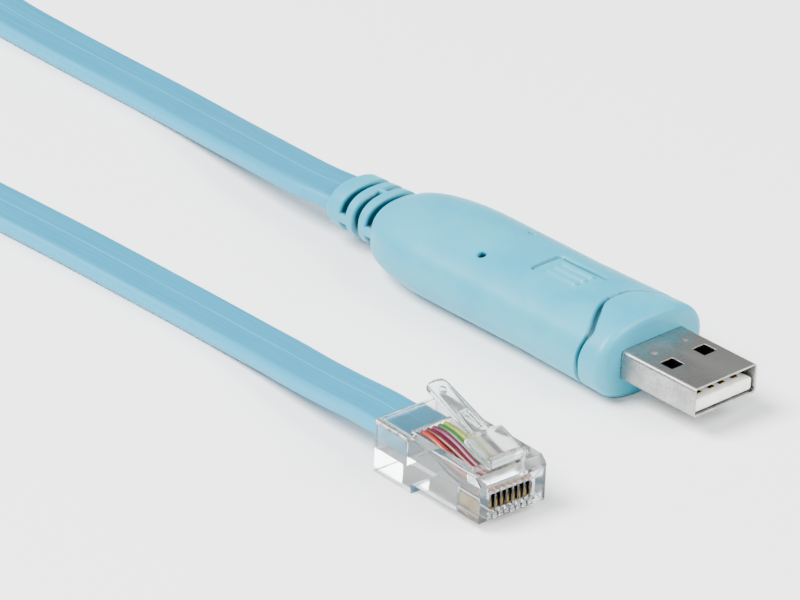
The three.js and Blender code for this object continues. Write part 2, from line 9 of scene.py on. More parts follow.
import logging
import math
from collections.abc import Callable
from dataclasses import dataclass
from enum import Enum
from functools import partial
from typing import Any

import bpy
import numpy as np
from mathutils import Matrix, Vector

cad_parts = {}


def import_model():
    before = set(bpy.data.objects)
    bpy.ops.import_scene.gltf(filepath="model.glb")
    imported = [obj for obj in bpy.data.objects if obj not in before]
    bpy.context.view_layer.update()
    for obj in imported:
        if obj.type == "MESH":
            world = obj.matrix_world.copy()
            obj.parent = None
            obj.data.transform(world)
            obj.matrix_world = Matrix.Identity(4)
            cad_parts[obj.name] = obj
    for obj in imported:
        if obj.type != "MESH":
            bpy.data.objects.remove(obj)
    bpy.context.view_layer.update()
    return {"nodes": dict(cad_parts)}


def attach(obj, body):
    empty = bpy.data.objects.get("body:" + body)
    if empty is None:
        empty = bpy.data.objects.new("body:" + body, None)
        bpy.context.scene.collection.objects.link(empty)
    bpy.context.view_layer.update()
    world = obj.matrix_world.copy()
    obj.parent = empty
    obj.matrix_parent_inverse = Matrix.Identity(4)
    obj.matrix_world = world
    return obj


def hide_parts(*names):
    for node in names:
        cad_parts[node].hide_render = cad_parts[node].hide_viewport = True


log = logging.getLogger("console_cable")

Array = np.ndarray
Pair = tuple[float, float]
Point = tuple[float, float, float]
AddNode = Callable[..., bpy.types.NodeSocket]
Sockets = dict[str, bpy.types.NodeSocket]

MM = 0.001
CABLE_BODY = "cable"
LATCH_BODY = "latch"
PLACE = "surface_place"

# Socket numbers: a map range node's inputs, a mix node's inputs for colours, and its colour output
VALUE, FROM_LOW, FROM_HIGH, TO_LOW, TO_HIGH = range(5)
SHARE, COLOUR_A, COLOUR_B = 0, 6, 7
BLEND = {"output": 2, "data_type": "RGBA"}


class Slot(Enum):
    """The record's material slots of the new pieces."""

    HOUSING = "blue_moulding"
    SHELL = "plated_steel"
    TONGUE = "white_insulator"
    JACKET = "cable_jacket"
    TIE = "black_tie"
    CLEAR = "clear_plastic"


# ---------------------------------------------------------------- finishes


def linear(colour: str) -> tuple[float, float, float, float]:
    """Turns an sRGB hex colour into the linear RGBA that shaders take.

    Args:
        colour: Six hex digits after a hash sign.

    Returns:
        Linear red, green and blue, and an alpha of 1.
    """
    shares = [int(colour[k : k + 2], 16) / 255 for k in (1, 3, 5)]
    bent = [s / 12.92 if s <= 0.04045 else ((s + 0.055) / 1.055) ** 2.4 for s in shares]
    return (bent[0], bent[1], bent[2], 1.0)


def per_mm(size: float) -> float:
    """Gives the texture scale at which one feature is as large as a size in millimetres."""
    return 1 / (size * MM)


def add_node(
    tree: bpy.types.NodeTree, kind: str, inputs: dict[Any, Any], output: Any = 0, **settings: Any
) -> bpy.types.NodeSocket:
    """Adds a shader node with its settings, values and links.

    Args:
        tree: The material's node tree.
        kind: The node's type name, without the ShaderNode that all of them start with.
        inputs: Values by socket name or number; a socket is linked, and a hex colour is made linear.
        output: The name or number of the output that is wanted.
        **settings: Properties of the node itself.

    Returns:
        The output socket.
    """
    node = tree.nodes.new(f"ShaderNode{kind}")
    for key, value in settings.items():
        setattr(node, key, value)
    for key, value in inputs.items():
        if isinstance(value, bpy.types.NodeSocket):
            tree.links.new(value, node.inputs[key])
        else:
            node.inputs[key].default_value = linear(value) if isinstance(value, str) else value
    return node.outputs[output]


@dataclass(frozen=True)
class Finish:
    """What every finish has: a name, a colour and a roughness, and a pattern of its own."""

    name: str
    colour: str
    roughness: float

    def sockets(self) -> dict[str, float]:
        """Gives the values that the shader's own sockets take."""
        return {}

    def pattern(self, add: AddNode) -> Sockets:
        """Adds nodes with add, and gives the sockets that feed the shader, by the name of its input."""
        return {}

    def make(self) -> bpy.types.Material:
        """Makes the material.

        Returns:
            A new node material.
        """
        material = bpy.data.materials.new(self.name)
        material.use_nodes = True
        tree = material.node_tree
        inputs = tree.nodes["Principled BSDF"].inputs
        values = {"Base Color": linear(self.colour), "Roughness": self.roughness}
        for socket, value in (values | self.sockets()).items():
            inputs[socket].default_value = value
        for socket, source in self.pattern(partial(add_node, tree)).items():
            tree.links.new(source, inputs[socket])
        return material


@dataclass(frozen=True)
class MouldedVinyl(Finish):
    """Soft PVC overmoulded in a spark-eroded steel tool.

    The tool leaves a very fine grain, which turns the gloss into a satin sheen and breaks it up a little, and
    the melt's flow leaves faint cloudy bands. Deep grooves are painted darker, as painted shade: the third
    part of the piece's place attribute tells how deep below the outer skin a point lies.
    """

    band_colour: str = "#2d9ab1"
    groove_shade_colour: str = "#0a2730"
    band: float = 9.0
    grain: float = 0.3
    grain_depth: float = 0.012
    groove_shade_from: float = 0.12
    groove_shade_to: float = 0.8
    groove_shade_share: float = 0.9
    shinier: float = 0.05
    duller: float = 0.07

    def sockets(self) -> dict[str, float]:
        """Gives a vinyl's index, and the weaker gloss of a skin that is grained."""
        return {"IOR": 1.53, "Specular IOR Level": 0.35}

    def pattern(self, add: AddNode) -> Sockets:
        """Adds flow bands and painted shade in deep grooves to the colour, and the tool's grain to gloss and
        surface.

        Args:
            add: Adds a node.

        Returns:
            The sockets that feed the shader.
        """
        place = add("TexCoord", {}, "Object")
        flow = add("TexNoise", {"Vector": place, "Scale": per_mm(self.band), "Detail": 3})
        bands = add("MapRange", {VALUE: flow, FROM_LOW: 0.35, FROM_HIGH: 0.65})
        flat = add("Mix", {SHARE: bands, COLOUR_A: self.colour, COLOUR_B: self.band_colour}, **BLEND)
        # Painted shade: the colour darkens with depth below the outer skin, in grooves, lamp holes and slots.
        spot = add("Attribute", {}, "Vector", attribute_name=PLACE)
        below = add("SeparateXYZ", {0: spot}, 2)
        limits = {FROM_LOW: self.groove_shade_from * MM, FROM_HIGH: self.groove_shade_to * MM, TO_HIGH: self.groove_shade_share}
        deep = add("MapRange", {VALUE: below} | limits)
        colour = add("Mix", {SHARE: deep, COLOUR_A: flat, COLOUR_B: self.groove_shade_colour}, **BLEND)
        grain = add("TexNoise", {"Vector": place, "Scale": per_mm(self.grain)})
        span = {TO_LOW: self.roughness - self.shinier, TO_HIGH: self.roughness + self.duller}
        gloss = add("MapRange", {VALUE: grain, FROM_LOW: 0.3, FROM_HIGH: 0.7} | span)
        bumps = add("Bump", {"Height": grain, "Distance": self.grain_depth * MM, "Strength": 0.55})
        return {"Base Color": colour, "Roughness": gloss, "Normal": bumps}


@dataclass(frozen=True)
class ExtrudedVinyl(Finish):
    """Soft PVC jacket drawn through a die over eight conductors.

    The conductors print through as faint lengthwise ripples, the die leaves finer lines between them, the web
    between the two middle conductors shows as a pale line, and the rounded edges are painted brighter, as
    painted light.
    """

    lit_edge_colour: str = "#148fb0"
    line_colour: str = "#3a9cb9"
    line_half: float = 0.14
    lit_edge_from: float = 3.3
    lit_edge_to: float = 4.3
    conductor_pitch: float = 1.02
    die_line: float = 0.3
    relief: float = 0.035

    def sockets(self) -> dict[str, float]:
        """Gives a vinyl's index, and the weaker gloss of a drawn skin."""
        return {"IOR": 1.53, "Specular IOR Level": 0.35}

    def pattern(self, add: AddNode) -> Sockets:
        """Adds the edges' painted light and the middle line's colour, the conductors' ripples and the die's
        lines.

        Args:
            add: Adds a node.

        Returns:
            The sockets that feed the shader.
        """
        place = add("Attribute", {}, "Vector", attribute_name=PLACE)
        across = add("SeparateXYZ", {0: place}, 1)
        away = add("Math", {0: across}, operation="ABSOLUTE")
        # Painted light: the rounded edges are coloured brighter than the flat faces.
        edge = add("MapRange", {VALUE: away, FROM_LOW: self.lit_edge_from * MM, FROM_HIGH: self.lit_edge_to * MM})
        line = add("MapRange", {VALUE: away, FROM_HIGH: self.line_half * MM, TO_LOW: 0.85, TO_HIGH: 0})
        drawn = add("Mapping", {"Vector": place, "Scale": (0.02, 1, 1)})
        lines = add("TexNoise", {"Vector": drawn, "Scale": per_mm(self.die_line), "Detail": 3})
        streaks = add("MapRange", {VALUE: lines, FROM_LOW: 0.42, FROM_HIGH: 0.7, TO_HIGH: 0.22})
        flat = add("Mix", {SHARE: streaks, COLOUR_A: self.colour, COLOUR_B: self.line_colour}, **BLEND)
        edged = add("Mix", {SHARE: edge, COLOUR_A: flat, COLOUR_B: self.lit_edge_colour}, **BLEND)
        colour = add("Mix", {SHARE: line, COLOUR_A: edged, COLOUR_B: self.line_colour}, **BLEND)
        turns = 2 * math.pi * per_mm(self.conductor_pitch)
        phase = add("Math", {0: across, 1: turns}, operation="MULTIPLY")
        ripple = add("Math", {0: phase}, operation="COSINE")
        height = add("Math", {0: ripple, 1: -0.2, 2: lines}, operation="MULTIPLY_ADD")
        bumps = add("Bump", {"Height": height, "Distance": self.relief * MM, "Strength": 0.5})
        return {"Base Color": colour, "Normal": bumps}


@dataclass(frozen=True)
class NickelPlate(Finish):
    """Deep-drawn steel strip, nickel plated over brushing.

    Brushing lies across the plug and gives long soft streaks in the reflections, and handling leaves a few
    duller blots. The streaks are drawn coarser than the real ones, so that they show.
    """

    blot_colour: str = "#868683"
    streak: float = 0.28
    streak_depth: float = 0.012
    blot: float = 2.2
    shinier: float = 0.07
    duller: float = 0.1

    def sockets(self) -> dict[str, float]:
        """Gives a full metal that is a little anisotropic."""
        return {"Metallic": 1.0, "Anisotropic": 0.35}

    def pattern(self, add: AddNode) -> Sockets:
        """Adds streaks and blots to colour and gloss, and streaks to the surface.

        Args:
            add: Adds a node.

        Returns:
            The sockets that feed the shader.
        """
        place = add("TexCoord", {}, "Object")
        brushed = add("Mapping", {"Vector": place, "Scale": (1, 0.12, 1)})
        streaks = add("TexNoise", {"Vector": brushed, "Scale": per_mm(self.streak), "Detail": 4})
        blots = add("TexNoise", {"Vector": place, "Scale": per_mm(self.blot), "Detail": 3})
        both = add("Math", {0: streaks, 1: blots}, operation="ADD")
        span = {TO_LOW: self.roughness - self.shinier, TO_HIGH: self.roughness + self.duller}
        gloss = add("MapRange", {VALUE: both, FROM_LOW: 0.75, FROM_HIGH: 1.25} | span)
        worn = add("MapRange", {VALUE: both, FROM_LOW: 0.85, FROM_HIGH: 1.2, TO_HIGH: 0.75})
        colour = add("Mix", {SHARE: worn, COLOUR_A: self.colour, COLOUR_B: self.blot_colour}, **BLEND)
        bumps = add("Bump", {"Height": streaks, "Distance": self.streak_depth * MM, "Strength": 0.5})
        return {"Base Color": colour, "Roughness": gloss, "Normal": bumps}


@dataclass(frozen=True)
class GoldPlate(Finish):
    """Hard gold flashed over nickel on a stamped phosphor bronze blade.

    Stamping leaves faint lines, and the thin plating varies from pale gold to olive. A blade can be painted
    dark bronze above a given height, as painted shade over its upper part.
    """

    thin_colour: str = "#8f7c3d"
    top_shade_colour: str = "#2c2417"
    shade_above: float = 100.0
    shade_edge: float = 0.3
    cloud: float = 0.9
    stamping: float = 0.08
    stamping_depth: float = 0.004

    def sockets(self) -> dict[str, float]:
        """Gives a full metal."""
        return {"Metallic": 1.0}

    def pattern(self, add: AddNode) -> Sockets:
        """Adds the plating's change of colour, the painted shade above a given height and the stamping lines.

        Args:
            add: Adds a node.

        Returns:
            The sockets that feed the shader.
        """
        place = add("TexCoord", {}, "Object")
        cloudy = add("TexNoise", {"Vector": place, "Scale": per_mm(self.cloud), "Detail": 3})
        thin = add("MapRange", {VALUE: cloudy, FROM_LOW: 0.4, FROM_HIGH: 0.6, TO_HIGH: 0.7})
        plated = add("Mix", {SHARE: thin, COLOUR_A: self.colour, COLOUR_B: self.thin_colour}, **BLEND)
        # Painted shade: above a given height the colour turns dark bronze.
        height = add("SeparateXYZ", {0: place}, 2)
        low, high = self.shade_above - self.shade_edge, self.shade_above + self.shade_edge
        bare = add("MapRange", {VALUE: height, FROM_LOW: low * MM, FROM_HIGH: high * MM})
        colour = add("Mix", {SHARE: bare, COLOUR_A: plated, COLOUR_B: self.top_shade_colour}, **BLEND)
        stamped = add("Mapping", {"Vector": place, "Scale": (1, 1, 0.2)})
        lines = add("TexNoise", {"Vector": stamped, "Scale": per_mm(self.stamping)})
        bumps = add("Bump", {"Height": lines, "Distance": self.stamping_depth * MM, "Strength": 0.5})
        return {"Base Color": colour, "Normal": bumps}


@dataclass(frozen=True)
class MouldedNylon(Finish):
    """Glass-filled nylon, injection moulded.

    The glass floats up in places, so the satin skin is faintly mottled and slightly rough. Behind a given
    place it can be painted black, as painted shade over what lies in shadow.
    """

    mottle_colour: str = "#d9d9d4"
    shadow_black: str = "#121213"
    shadow_behind: float = -1000.0
    shadow_edge: float = 0.1
    mottle: float = 1.2
    grain: float = 0.15
    grain_depth: float = 0.01

    def pattern(self, add: AddNode) -> Sockets:
        """Adds the glass's mottle, the painted black shade behind a given place and the skin's grain.

        Args:
            add: Adds a node.

        Returns:
            The sockets that feed the shader.
        """
        place = add("TexCoord", {}, "Object")
        cloudy = add("TexNoise", {"Vector": place, "Scale": per_mm(self.mottle), "Detail": 3})
        mottle = add("MapRange", {VALUE: cloudy, FROM_LOW: 0.4, FROM_HIGH: 0.65, TO_HIGH: 0.5})
        front = add("Mix", {SHARE: mottle, COLOUR_A: self.colour, COLOUR_B: self.mottle_colour}, **BLEND)
        # Painted shade: behind a given place the colour turns black.
        along = add("SeparateXYZ", {0: place}, 0)
        low, high = self.shadow_behind - self.shadow_edge, self.shadow_behind + self.shadow_edge
        limits = {FROM_LOW: low * MM, FROM_HIGH: high * MM, TO_LOW: 1, TO_HIGH: 0}
        rear = add("MapRange", {VALUE: along} | limits)
        colour = add("Mix", {SHARE: rear, COLOUR_A: front, COLOUR_B: self.shadow_black}, **BLEND)
        grain = add("TexNoise", {"Vector": place, "Scale": per_mm(self.grain)})
        bumps = add("Bump", {"Height": grain, "Distance": self.grain_depth * MM, "Strength": 0.5})
        return {"Base Color": colour, "Normal": bumps}


@dataclass(frozen=True)
class ClearPolycarbonate(Finish):
    """Clear polycarbonate, injection moulded in a polished tool.

    It shows what lies inside it, with bright edges where it bends the light, and faint flow ripples and
    handling haze keep it from looking like glass. Where it has been flexed often it turns milky.
    """

    clarity: float = 1.0
    handling: float = 2.2
    haze: float = 0.12
    ripple: float = 1.6
    ripple_depth: float = 0.03

    def sockets(self) -> dict[str, float]:
        """Gives polycarbonate's index and its share of transmission."""
        return {"IOR": 1.5, "Transmission Weight": self.clarity}

    def pattern(self, add: AddNode) -> Sockets:
        """Adds haze to the gloss and flow ripples to the surface.

        Args:
            add: Adds a node.

        Returns:
            The sockets that feed the shader.
        """
        place = add("TexCoord", {}, "Object")
        handled = add("TexNoise", {"Vector": place, "Scale": per_mm(self.handling), "Detail": 4})
        span = {TO_LOW: self.roughness, TO_HIGH: self.roughness + self.haze}
        haze = add("MapRange", {VALUE: handled, FROM_LOW: 0.35, FROM_HIGH: 0.7} | span)
        flowed = add("Mapping", {"Vector": place, "Scale": (1, 0.5, 1)})
        ripples = add("TexNoise", {"Vector": flowed, "Scale": per_mm(self.ripple)})
        bumps = add("Bump", {"Height": ripples, "Distance": self.ripple_depth * MM, "Strength": 0.4})
        return {"Roughness": haze, "Normal": bumps}


@dataclass(frozen=True)
class WireVinyl(Finish):
    """Thin PVC insulation drawn over a stranded conductor.

    It is satin, and the strands below print a slight lay through it.
    """

    cloud: float = 1.5
    strand: float = 0.2
    strand_depth: float = 0.02
    shade: float = 0.6

    def pattern(self, add: AddNode) -> Sockets:
        """Adds the strands' lay to the surface and a little unevenness to the colour.

        Args:
            add: Adds a node.

        Returns:
            The sockets that feed the shader.
        """
        place = add("Attribute", {}, "Vector", attribute_name=PLACE)
        cloudy = add("TexNoise", {"Vector": place, "Scale": per_mm(self.cloud)})
        dull = add("MapRange", {VALUE: cloudy, FROM_LOW: 0.4, FROM_HIGH: 0.6, TO_HIGH: 0.35})
        dark = (*(self.shade * part for part in linear(self.colour)[:3]), 1.0)
        colour = add("Mix", {SHARE: dull, COLOUR_A: self.colour, COLOUR_B: dark}, **BLEND)
        laid = add("Mapping", {"Vector": place, "Scale": (0.3, 1, 1)})
        strands = add("TexNoise", {"Vector": laid, "Scale": per_mm(self.strand)})
        bumps = add("Bump", {"Height": strands, "Distance": self.strand_depth * MM, "Strength": 0.6})
        return {"Base Color": colour, "Normal": bumps}


@dataclass(frozen=True)
class BareCopper(Finish):
    """Freshly cut soft copper strands: warm, bright and slightly torn."""

    strand: float = 0.1
    tear: float = 0.03

    def sockets(self) -> dict[str, float]:
        """Gives a full metal."""
        return {"Metallic": 1.0}

    def pattern(self, add: AddNode) -> Sockets:
        """Adds the torn strands to the surface.

        Args:
            add: Adds a node.

        Returns:
            The sockets that feed the shader.
        """
        place = add("TexCoord", {}, "Object")
        torn = add("TexNoise", {"Vector": place, "Scale": per_mm(self.strand)})
        return {"Normal": add("Bump", {"Height": torn, "Distance": self.tear * MM, "Strength": 0.8})}


@dataclass(frozen=True)
class HookAndLoop(Finish):
    """Woven nylon strap with a napped back.

    A weave with threads 0.5 mm apart shows as small checks, with fuzz that lightens it at grazing angles.
    """

    light_colour: str = "#1b1b1d"
    thread: float = 0.5
    thread_depth: float = 0.15
    fuzz: float = 0.3

    def sockets(self) -> dict[str, float]:
        """Gives the fuzz's sheen."""
        return {"Sheen Weight": 0.12, "Sheen Roughness": 0.5, "Specular IOR Level": 0.2}

    def pattern(self, add: AddNode) -> Sockets:
        """Args:
            add: Adds a node.

        Returns:
            The sockets that feed the shader.
        """
        place = add("Attribute", {}, "Vector", attribute_name=PLACE)
        checks = {"Scale": per_mm(self.thread), "Color1": (1, 1, 1, 1), "Color2": (0, 0, 0, 1)}
        weave = add("TexChecker", {"Vector": place} | checks, "Fac")
        fuzz = add("TexNoise", {"Vector": place, "Scale": per_mm(self.fuzz), "Detail": 4})
        height = add("Math", {0: weave, 1: fuzz}, operation="ADD")
        shade = add("MapRange", {VALUE: height, FROM_LOW: 0.2, FROM_HIGH: 1.6})
        colour = add("Mix", {SHARE: shade, COLOUR_A: self.colour, COLOUR_B: self.light_colour}, **BLEND)
        bumps = add("Bump", {"Height": height, "Distance": self.thread_depth * MM, "Strength": 0.8})
        return {"Base Color": colour, "Normal": bumps}


@dataclass(frozen=True)
class StudioPaper(Finish):
    """Matt white background paper, with a tooth too fine to see except as softness."""

    tooth: float = 1.0
    tooth_depth: float = 0.02

    def pattern(self, add: AddNode) -> Sockets:
        """Adds the paper's tooth.

        Args:
            add: Adds a node.

        Returns:
            The sockets that feed the shader.
        """
        place = add("TexCoord", {}, "Object")
        tooth = add("TexNoise", {"Vector": place, "Scale": per_mm(self.tooth)})
        return {"Normal": add("Bump", {"Height": tooth, "Distance": self.tooth_depth * MM, "Strength": 0.2})}


class Palette:
    """The object's finishes, each made once."""

    def __init__(self) -> None:
        """Makes every material."""
        self.housing = MouldedVinyl("moulded_vinyl_blue", "#1a8faa", 0.38).make()
        self.jacket = ExtrudedVinyl("extruded_vinyl_blue", "#0f7696", 0.45).make()
        self.steel = NickelPlate("brushed_nickel_plate", "#a9a9a6", 0.34).make()
        # The tongue is painted black behind 31.6 mm, as painted shade for what the shell's windows show.
        self.nylon = MouldedNylon("moulded_nylon_white", "#f6f6f3", 0.45, shadow_behind=31.6).make()
        self.gold = GoldPlate("hard_gold_plate", "#b8923f", 0.28).make()
        # The blades are painted dark bronze above 3.9 mm, as painted shade over their upper parts.
        self.blade = GoldPlate("gold_blade_shaded_top", "#94763a", 0.36, "#5a4d2c", shade_above=3.9).make()
        self.clear = ClearPolycarbonate("clear_polycarbonate", "#f4f8f8", 0.04).make()
        self.worked = ClearPolycarbonate("flexed_polycarbonate", "#f7f9f8", 0.05, clarity=0.97).make()
        self.lens = MouldedNylon("smoked_lens_plastic", "#1d2a30", 0.12, "#26343a").make()
        self.strap = HookAndLoop("hook_and_loop_black", "#08080a", 0.9).make()
        self.copper = BareCopper("cut_copper", "#a9653a", 0.35).make()
        self.paper = StudioPaper("studio_paper", "#f4f5f5", 0.9).make()
        wires = {
            "grey": "#3a3b3f",
            "orange": "#8c200c",
            "red": "#4c0908",
            "magenta": "#560a34",
            "green": "#1a5222",
            "lime": "#6f7f22",
            "white": "#b4b4ae",
            "black": "#141414",
        }
        self.wires = [WireVinyl(f"wire_vinyl_{name}", colour, 0.38).make() for name, colour in wires.items()]


# ---------------------------------------------------------------- mesh making


def ease(value: Array | float, start: float, end: float) -> Array:
    """Runs smoothly from 0 at start to 1 at end: 3t^2 - 2t^3 of the share t of the way, held outside."""
    share = np.clip((np.asarray(value, float) - start) / (end - start), 0.0, 1.0)
    return share * share * (3 - 2 * share)


def steps(start: float, *stops: tuple[float, int]) -> Array:
    """Places stations along a line, each stretch evenly.

    Args:
        start: The first station.
        *stops: A place, and how many steps lead to it from the one before.

    Returns:
        The stations, from the first to the last.
    """
    parts = [np.array([start])]
    for end, count in stops:
        parts.append(np.linspace(parts[-1][-1], end, count + 1)[1:])
    return np.concatenate(parts)


def both_sides(half: Array) -> Array:
    """Adds the mirror images of stations that start at 0."""
    return np.concatenate([-half[:0:-1], half])


def lattice(x: Array | float, y: Array | float, z: Array | float) -> Array:
    """Joins coordinates into points, after spreading each over the same rows and columns."""
    return np.stack(np.broadcast_arrays(x, y, z), axis=-1)


def unit(vectors: Array) -> Array:
    """Scales each row to a length of 1."""
    return vectors / np.linalg.norm(vectors, axis=1, keepdims=True)


def directions(line: Array) -> Array:
    """Gives the unit direction at each station of a line, by central differences."""
    return unit(np.gradient(line, axis=0))


def travelled(line: Array) -> Array:
    """Gives how far along a line each of its stations lies: the running sum of the chords."""
    return np.concatenate([[0], np.cumsum(np.linalg.norm(np.diff(line, axis=0), axis=1))])


def grid_faces(rows: int, columns: int, looped: bool = False) -> Array:
    """Numbers the corners of the faces of a grid whose rows are rings.

    Args:
        rows: How many rings it has.
        columns: How many points each ring has.
        looped: Whether the last ring joins the first.

    Returns:
        Four point numbers a face.
    """
    index = np.arange(rows * columns).reshape(rows, columns)
    if looped:
        index = np.concatenate([index, index[:1]])
    beside = np.roll(index, -1, axis=1)
    return np.stack([index[:-1], index[1:], beside[1:], beside[:-1]], axis=-1).reshape(-1, 4)


def facing_out(points: Array, quads: Array, *fans: Array) -> list[list[int]]:
    """Lists faces so that they face outwards.

    They are turned if the quads enclose less than nothing: the sum, about the points' middle, of the triple
    products of each corner triangle.

    Args:
        points: The points that the quads join.
        quads: Four-cornered faces, one row each.
        *fans: More faces, which are turned with them.

    Returns:
        All the faces.
    """
    corner = (points - points.mean(axis=0))[quads]
    halves = [np.cross(corner[:, 1], corner[:, 2]), np.cross(corner[:, 2], corner[:, 3])]
    turn = -1 if sum(np.einsum("ij,ij->", corner[:, 0], half) for half in halves) < 0 else 1
    return [face for part in (quads, *fans) for face in part[:, ::turn].tolist()]


def show(name: str, data: Any) -> Any:
    """Puts a new object in the scene.

    Args:
        name: Its name.
        data: Its mesh, light or camera.

    Returns:
        The object.
    """
    thing = bpy.data.objects.new(name, data)
    bpy.context.scene.collection.objects.link(thing)
    return thing


def piece(
    name: str, points: Array, faces: list, material: bpy.types.Material, place: Array | None = None
) -> Any:
    """Makes a smooth mesh object at the origin from points in millimetres.

    Args:
        name: The piece's name.
        points: Its points, one row each.
        faces: Its faces, as lists of point numbers.
        material: Its finish.
        place: Millimetres along, across and through the piece at each point, for a pattern that follows it.

    Returns:
        The object.
    """
    mesh = bpy.data.meshes.new(name)
    mesh.from_pydata((points * MM).tolist(), [], faces)
    mesh.update()
    mesh.polygons.foreach_set("use_smooth", np.ones(len(mesh.polygons), bool))
    if place is not None:
        attribute = mesh.attributes.new(PLACE, "FLOAT_VECTOR", "POINT")
        attribute.data.foreach_set("vector", (place * MM).astype(np.float32).ravel())
    mesh.materials.append(material)
    return show(name, mesh)


def skin(name: str, rings: Array, material: bpy.types.Material, place: Array | None = None) -> Any:
    """Makes a closed piece from rings of points, with a pole at the middle of each end.

    Args:
        name: The piece's name.
        rings: Rows of points round the piece, from one end to the other, in millimetres.
        material: Its finish.
        place: As in piece, one for each point of the rings.

    Returns:
        The object.
    """
    rows, columns = rings.shape[:2]
    points = rings.reshape(-1, 3)
    first = np.arange(columns)
    last = first + (rows - 1) * columns
    pole = np.full(columns, rows * columns)
    fans = (
        np.stack([first, np.roll(first, -1), pole], axis=-1),
        np.stack([np.roll(last, -1), last, pole + 1], axis=-1),
    )
    faces = facing_out(points, grid_faces(rows, columns), *fans)
    if place is not None:
        place = np.concatenate([place.reshape(-1, 3), place[[0, -1]].mean(axis=1)])
    points = np.concatenate([points, rings[[0, -1]].mean(axis=1)])
    return piece(name, points, faces, material, place)


def rounded_section(size: Pair, radius: float, flat: Array | int, side: int, corner: int) -> Array:
    """Walks round a rectangle with round corners.

    The walk is along the top from left to right, down the right side, back along the bottom and up the left
    side, with a quarter circle between each two.

    Args:
        size: Full width and full height.
        radius: Corner radius.
        flat: Stations along the top and the bottom, from -1 to 1, or how many even ones there are.
        side: How many even stations each side has.
        corner: Steps in each corner.

    Returns:
        The points, one row each: across and up.
    """
    width, height = size
    half, tall = width / 2 - radius, height / 2 - radius
    stations = np.linspace(-1, 1, flat) if isinstance(flat, int) else flat
    top = np.stack([stations * half, np.full(len(stations), height / 2)], axis=-1)
    right = np.stack([np.full(side, width / 2), np.linspace(1, -1, side) * tall], axis=-1)
    turn = np.linspace(0, math.pi / 2, corner + 1)[1:-1]
    arc = np.stack([half + radius * np.sin(turn), tall + radius * np.cos(turn)], axis=-1)
    below = np.stack([half + radius * np.cos(turn), -tall - radius * np.sin(turn)], axis=-1)
    part = np.concatenate([top, arc, right, below])
    return np.concatenate([part, -part])


def wear(thing: Any, body: str, slot: Slot | None, *nodes: str) -> Any:
    """Attaches a piece to its body and hides the solids that it stands for.

    Args:
        thing: The piece.
        body: The body that it rides on.
        slot: The record's material slot, if it takes one; not used.
        *nodes: The solids that it stands for.

    Returns:
        The piece.
    """
    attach(thing, body)
    if nodes:
        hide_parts(*nodes)
    log.info("%s: %d faces", thing.name, len(thing.data.polygons))
    return thing


def coat(thing: Any, material: bpy.types.Material) -> Any:
    """Gives an object one finish in place of its own.

    Args:
        thing: The object.
        material: The finish.

    Returns:
        The object.
    """
    thing.data.materials.clear()
    thing.data.materials.append(material)
    return thing


def modifier(thing: Any, kind: str, **settings: Any) -> None:
    """Adds a modifier with its settings."""
    added = thing.modifiers.new(kind.lower(), kind)
    for key, value in settings.items():
        setattr(added, key, value)


def round_edges(thing: Any, width: float, angle: float) -> None:
    """Rounds the edges that turn by more than an angle in degrees, over a width in millimetres."""
    limit = math.radians(angle)
    modifier(thing, "BEVEL", width=width * MM, segments=2, limit_method="ANGLE", angle_limit=limit)


# ---------------------------------------------------------------- USB plug


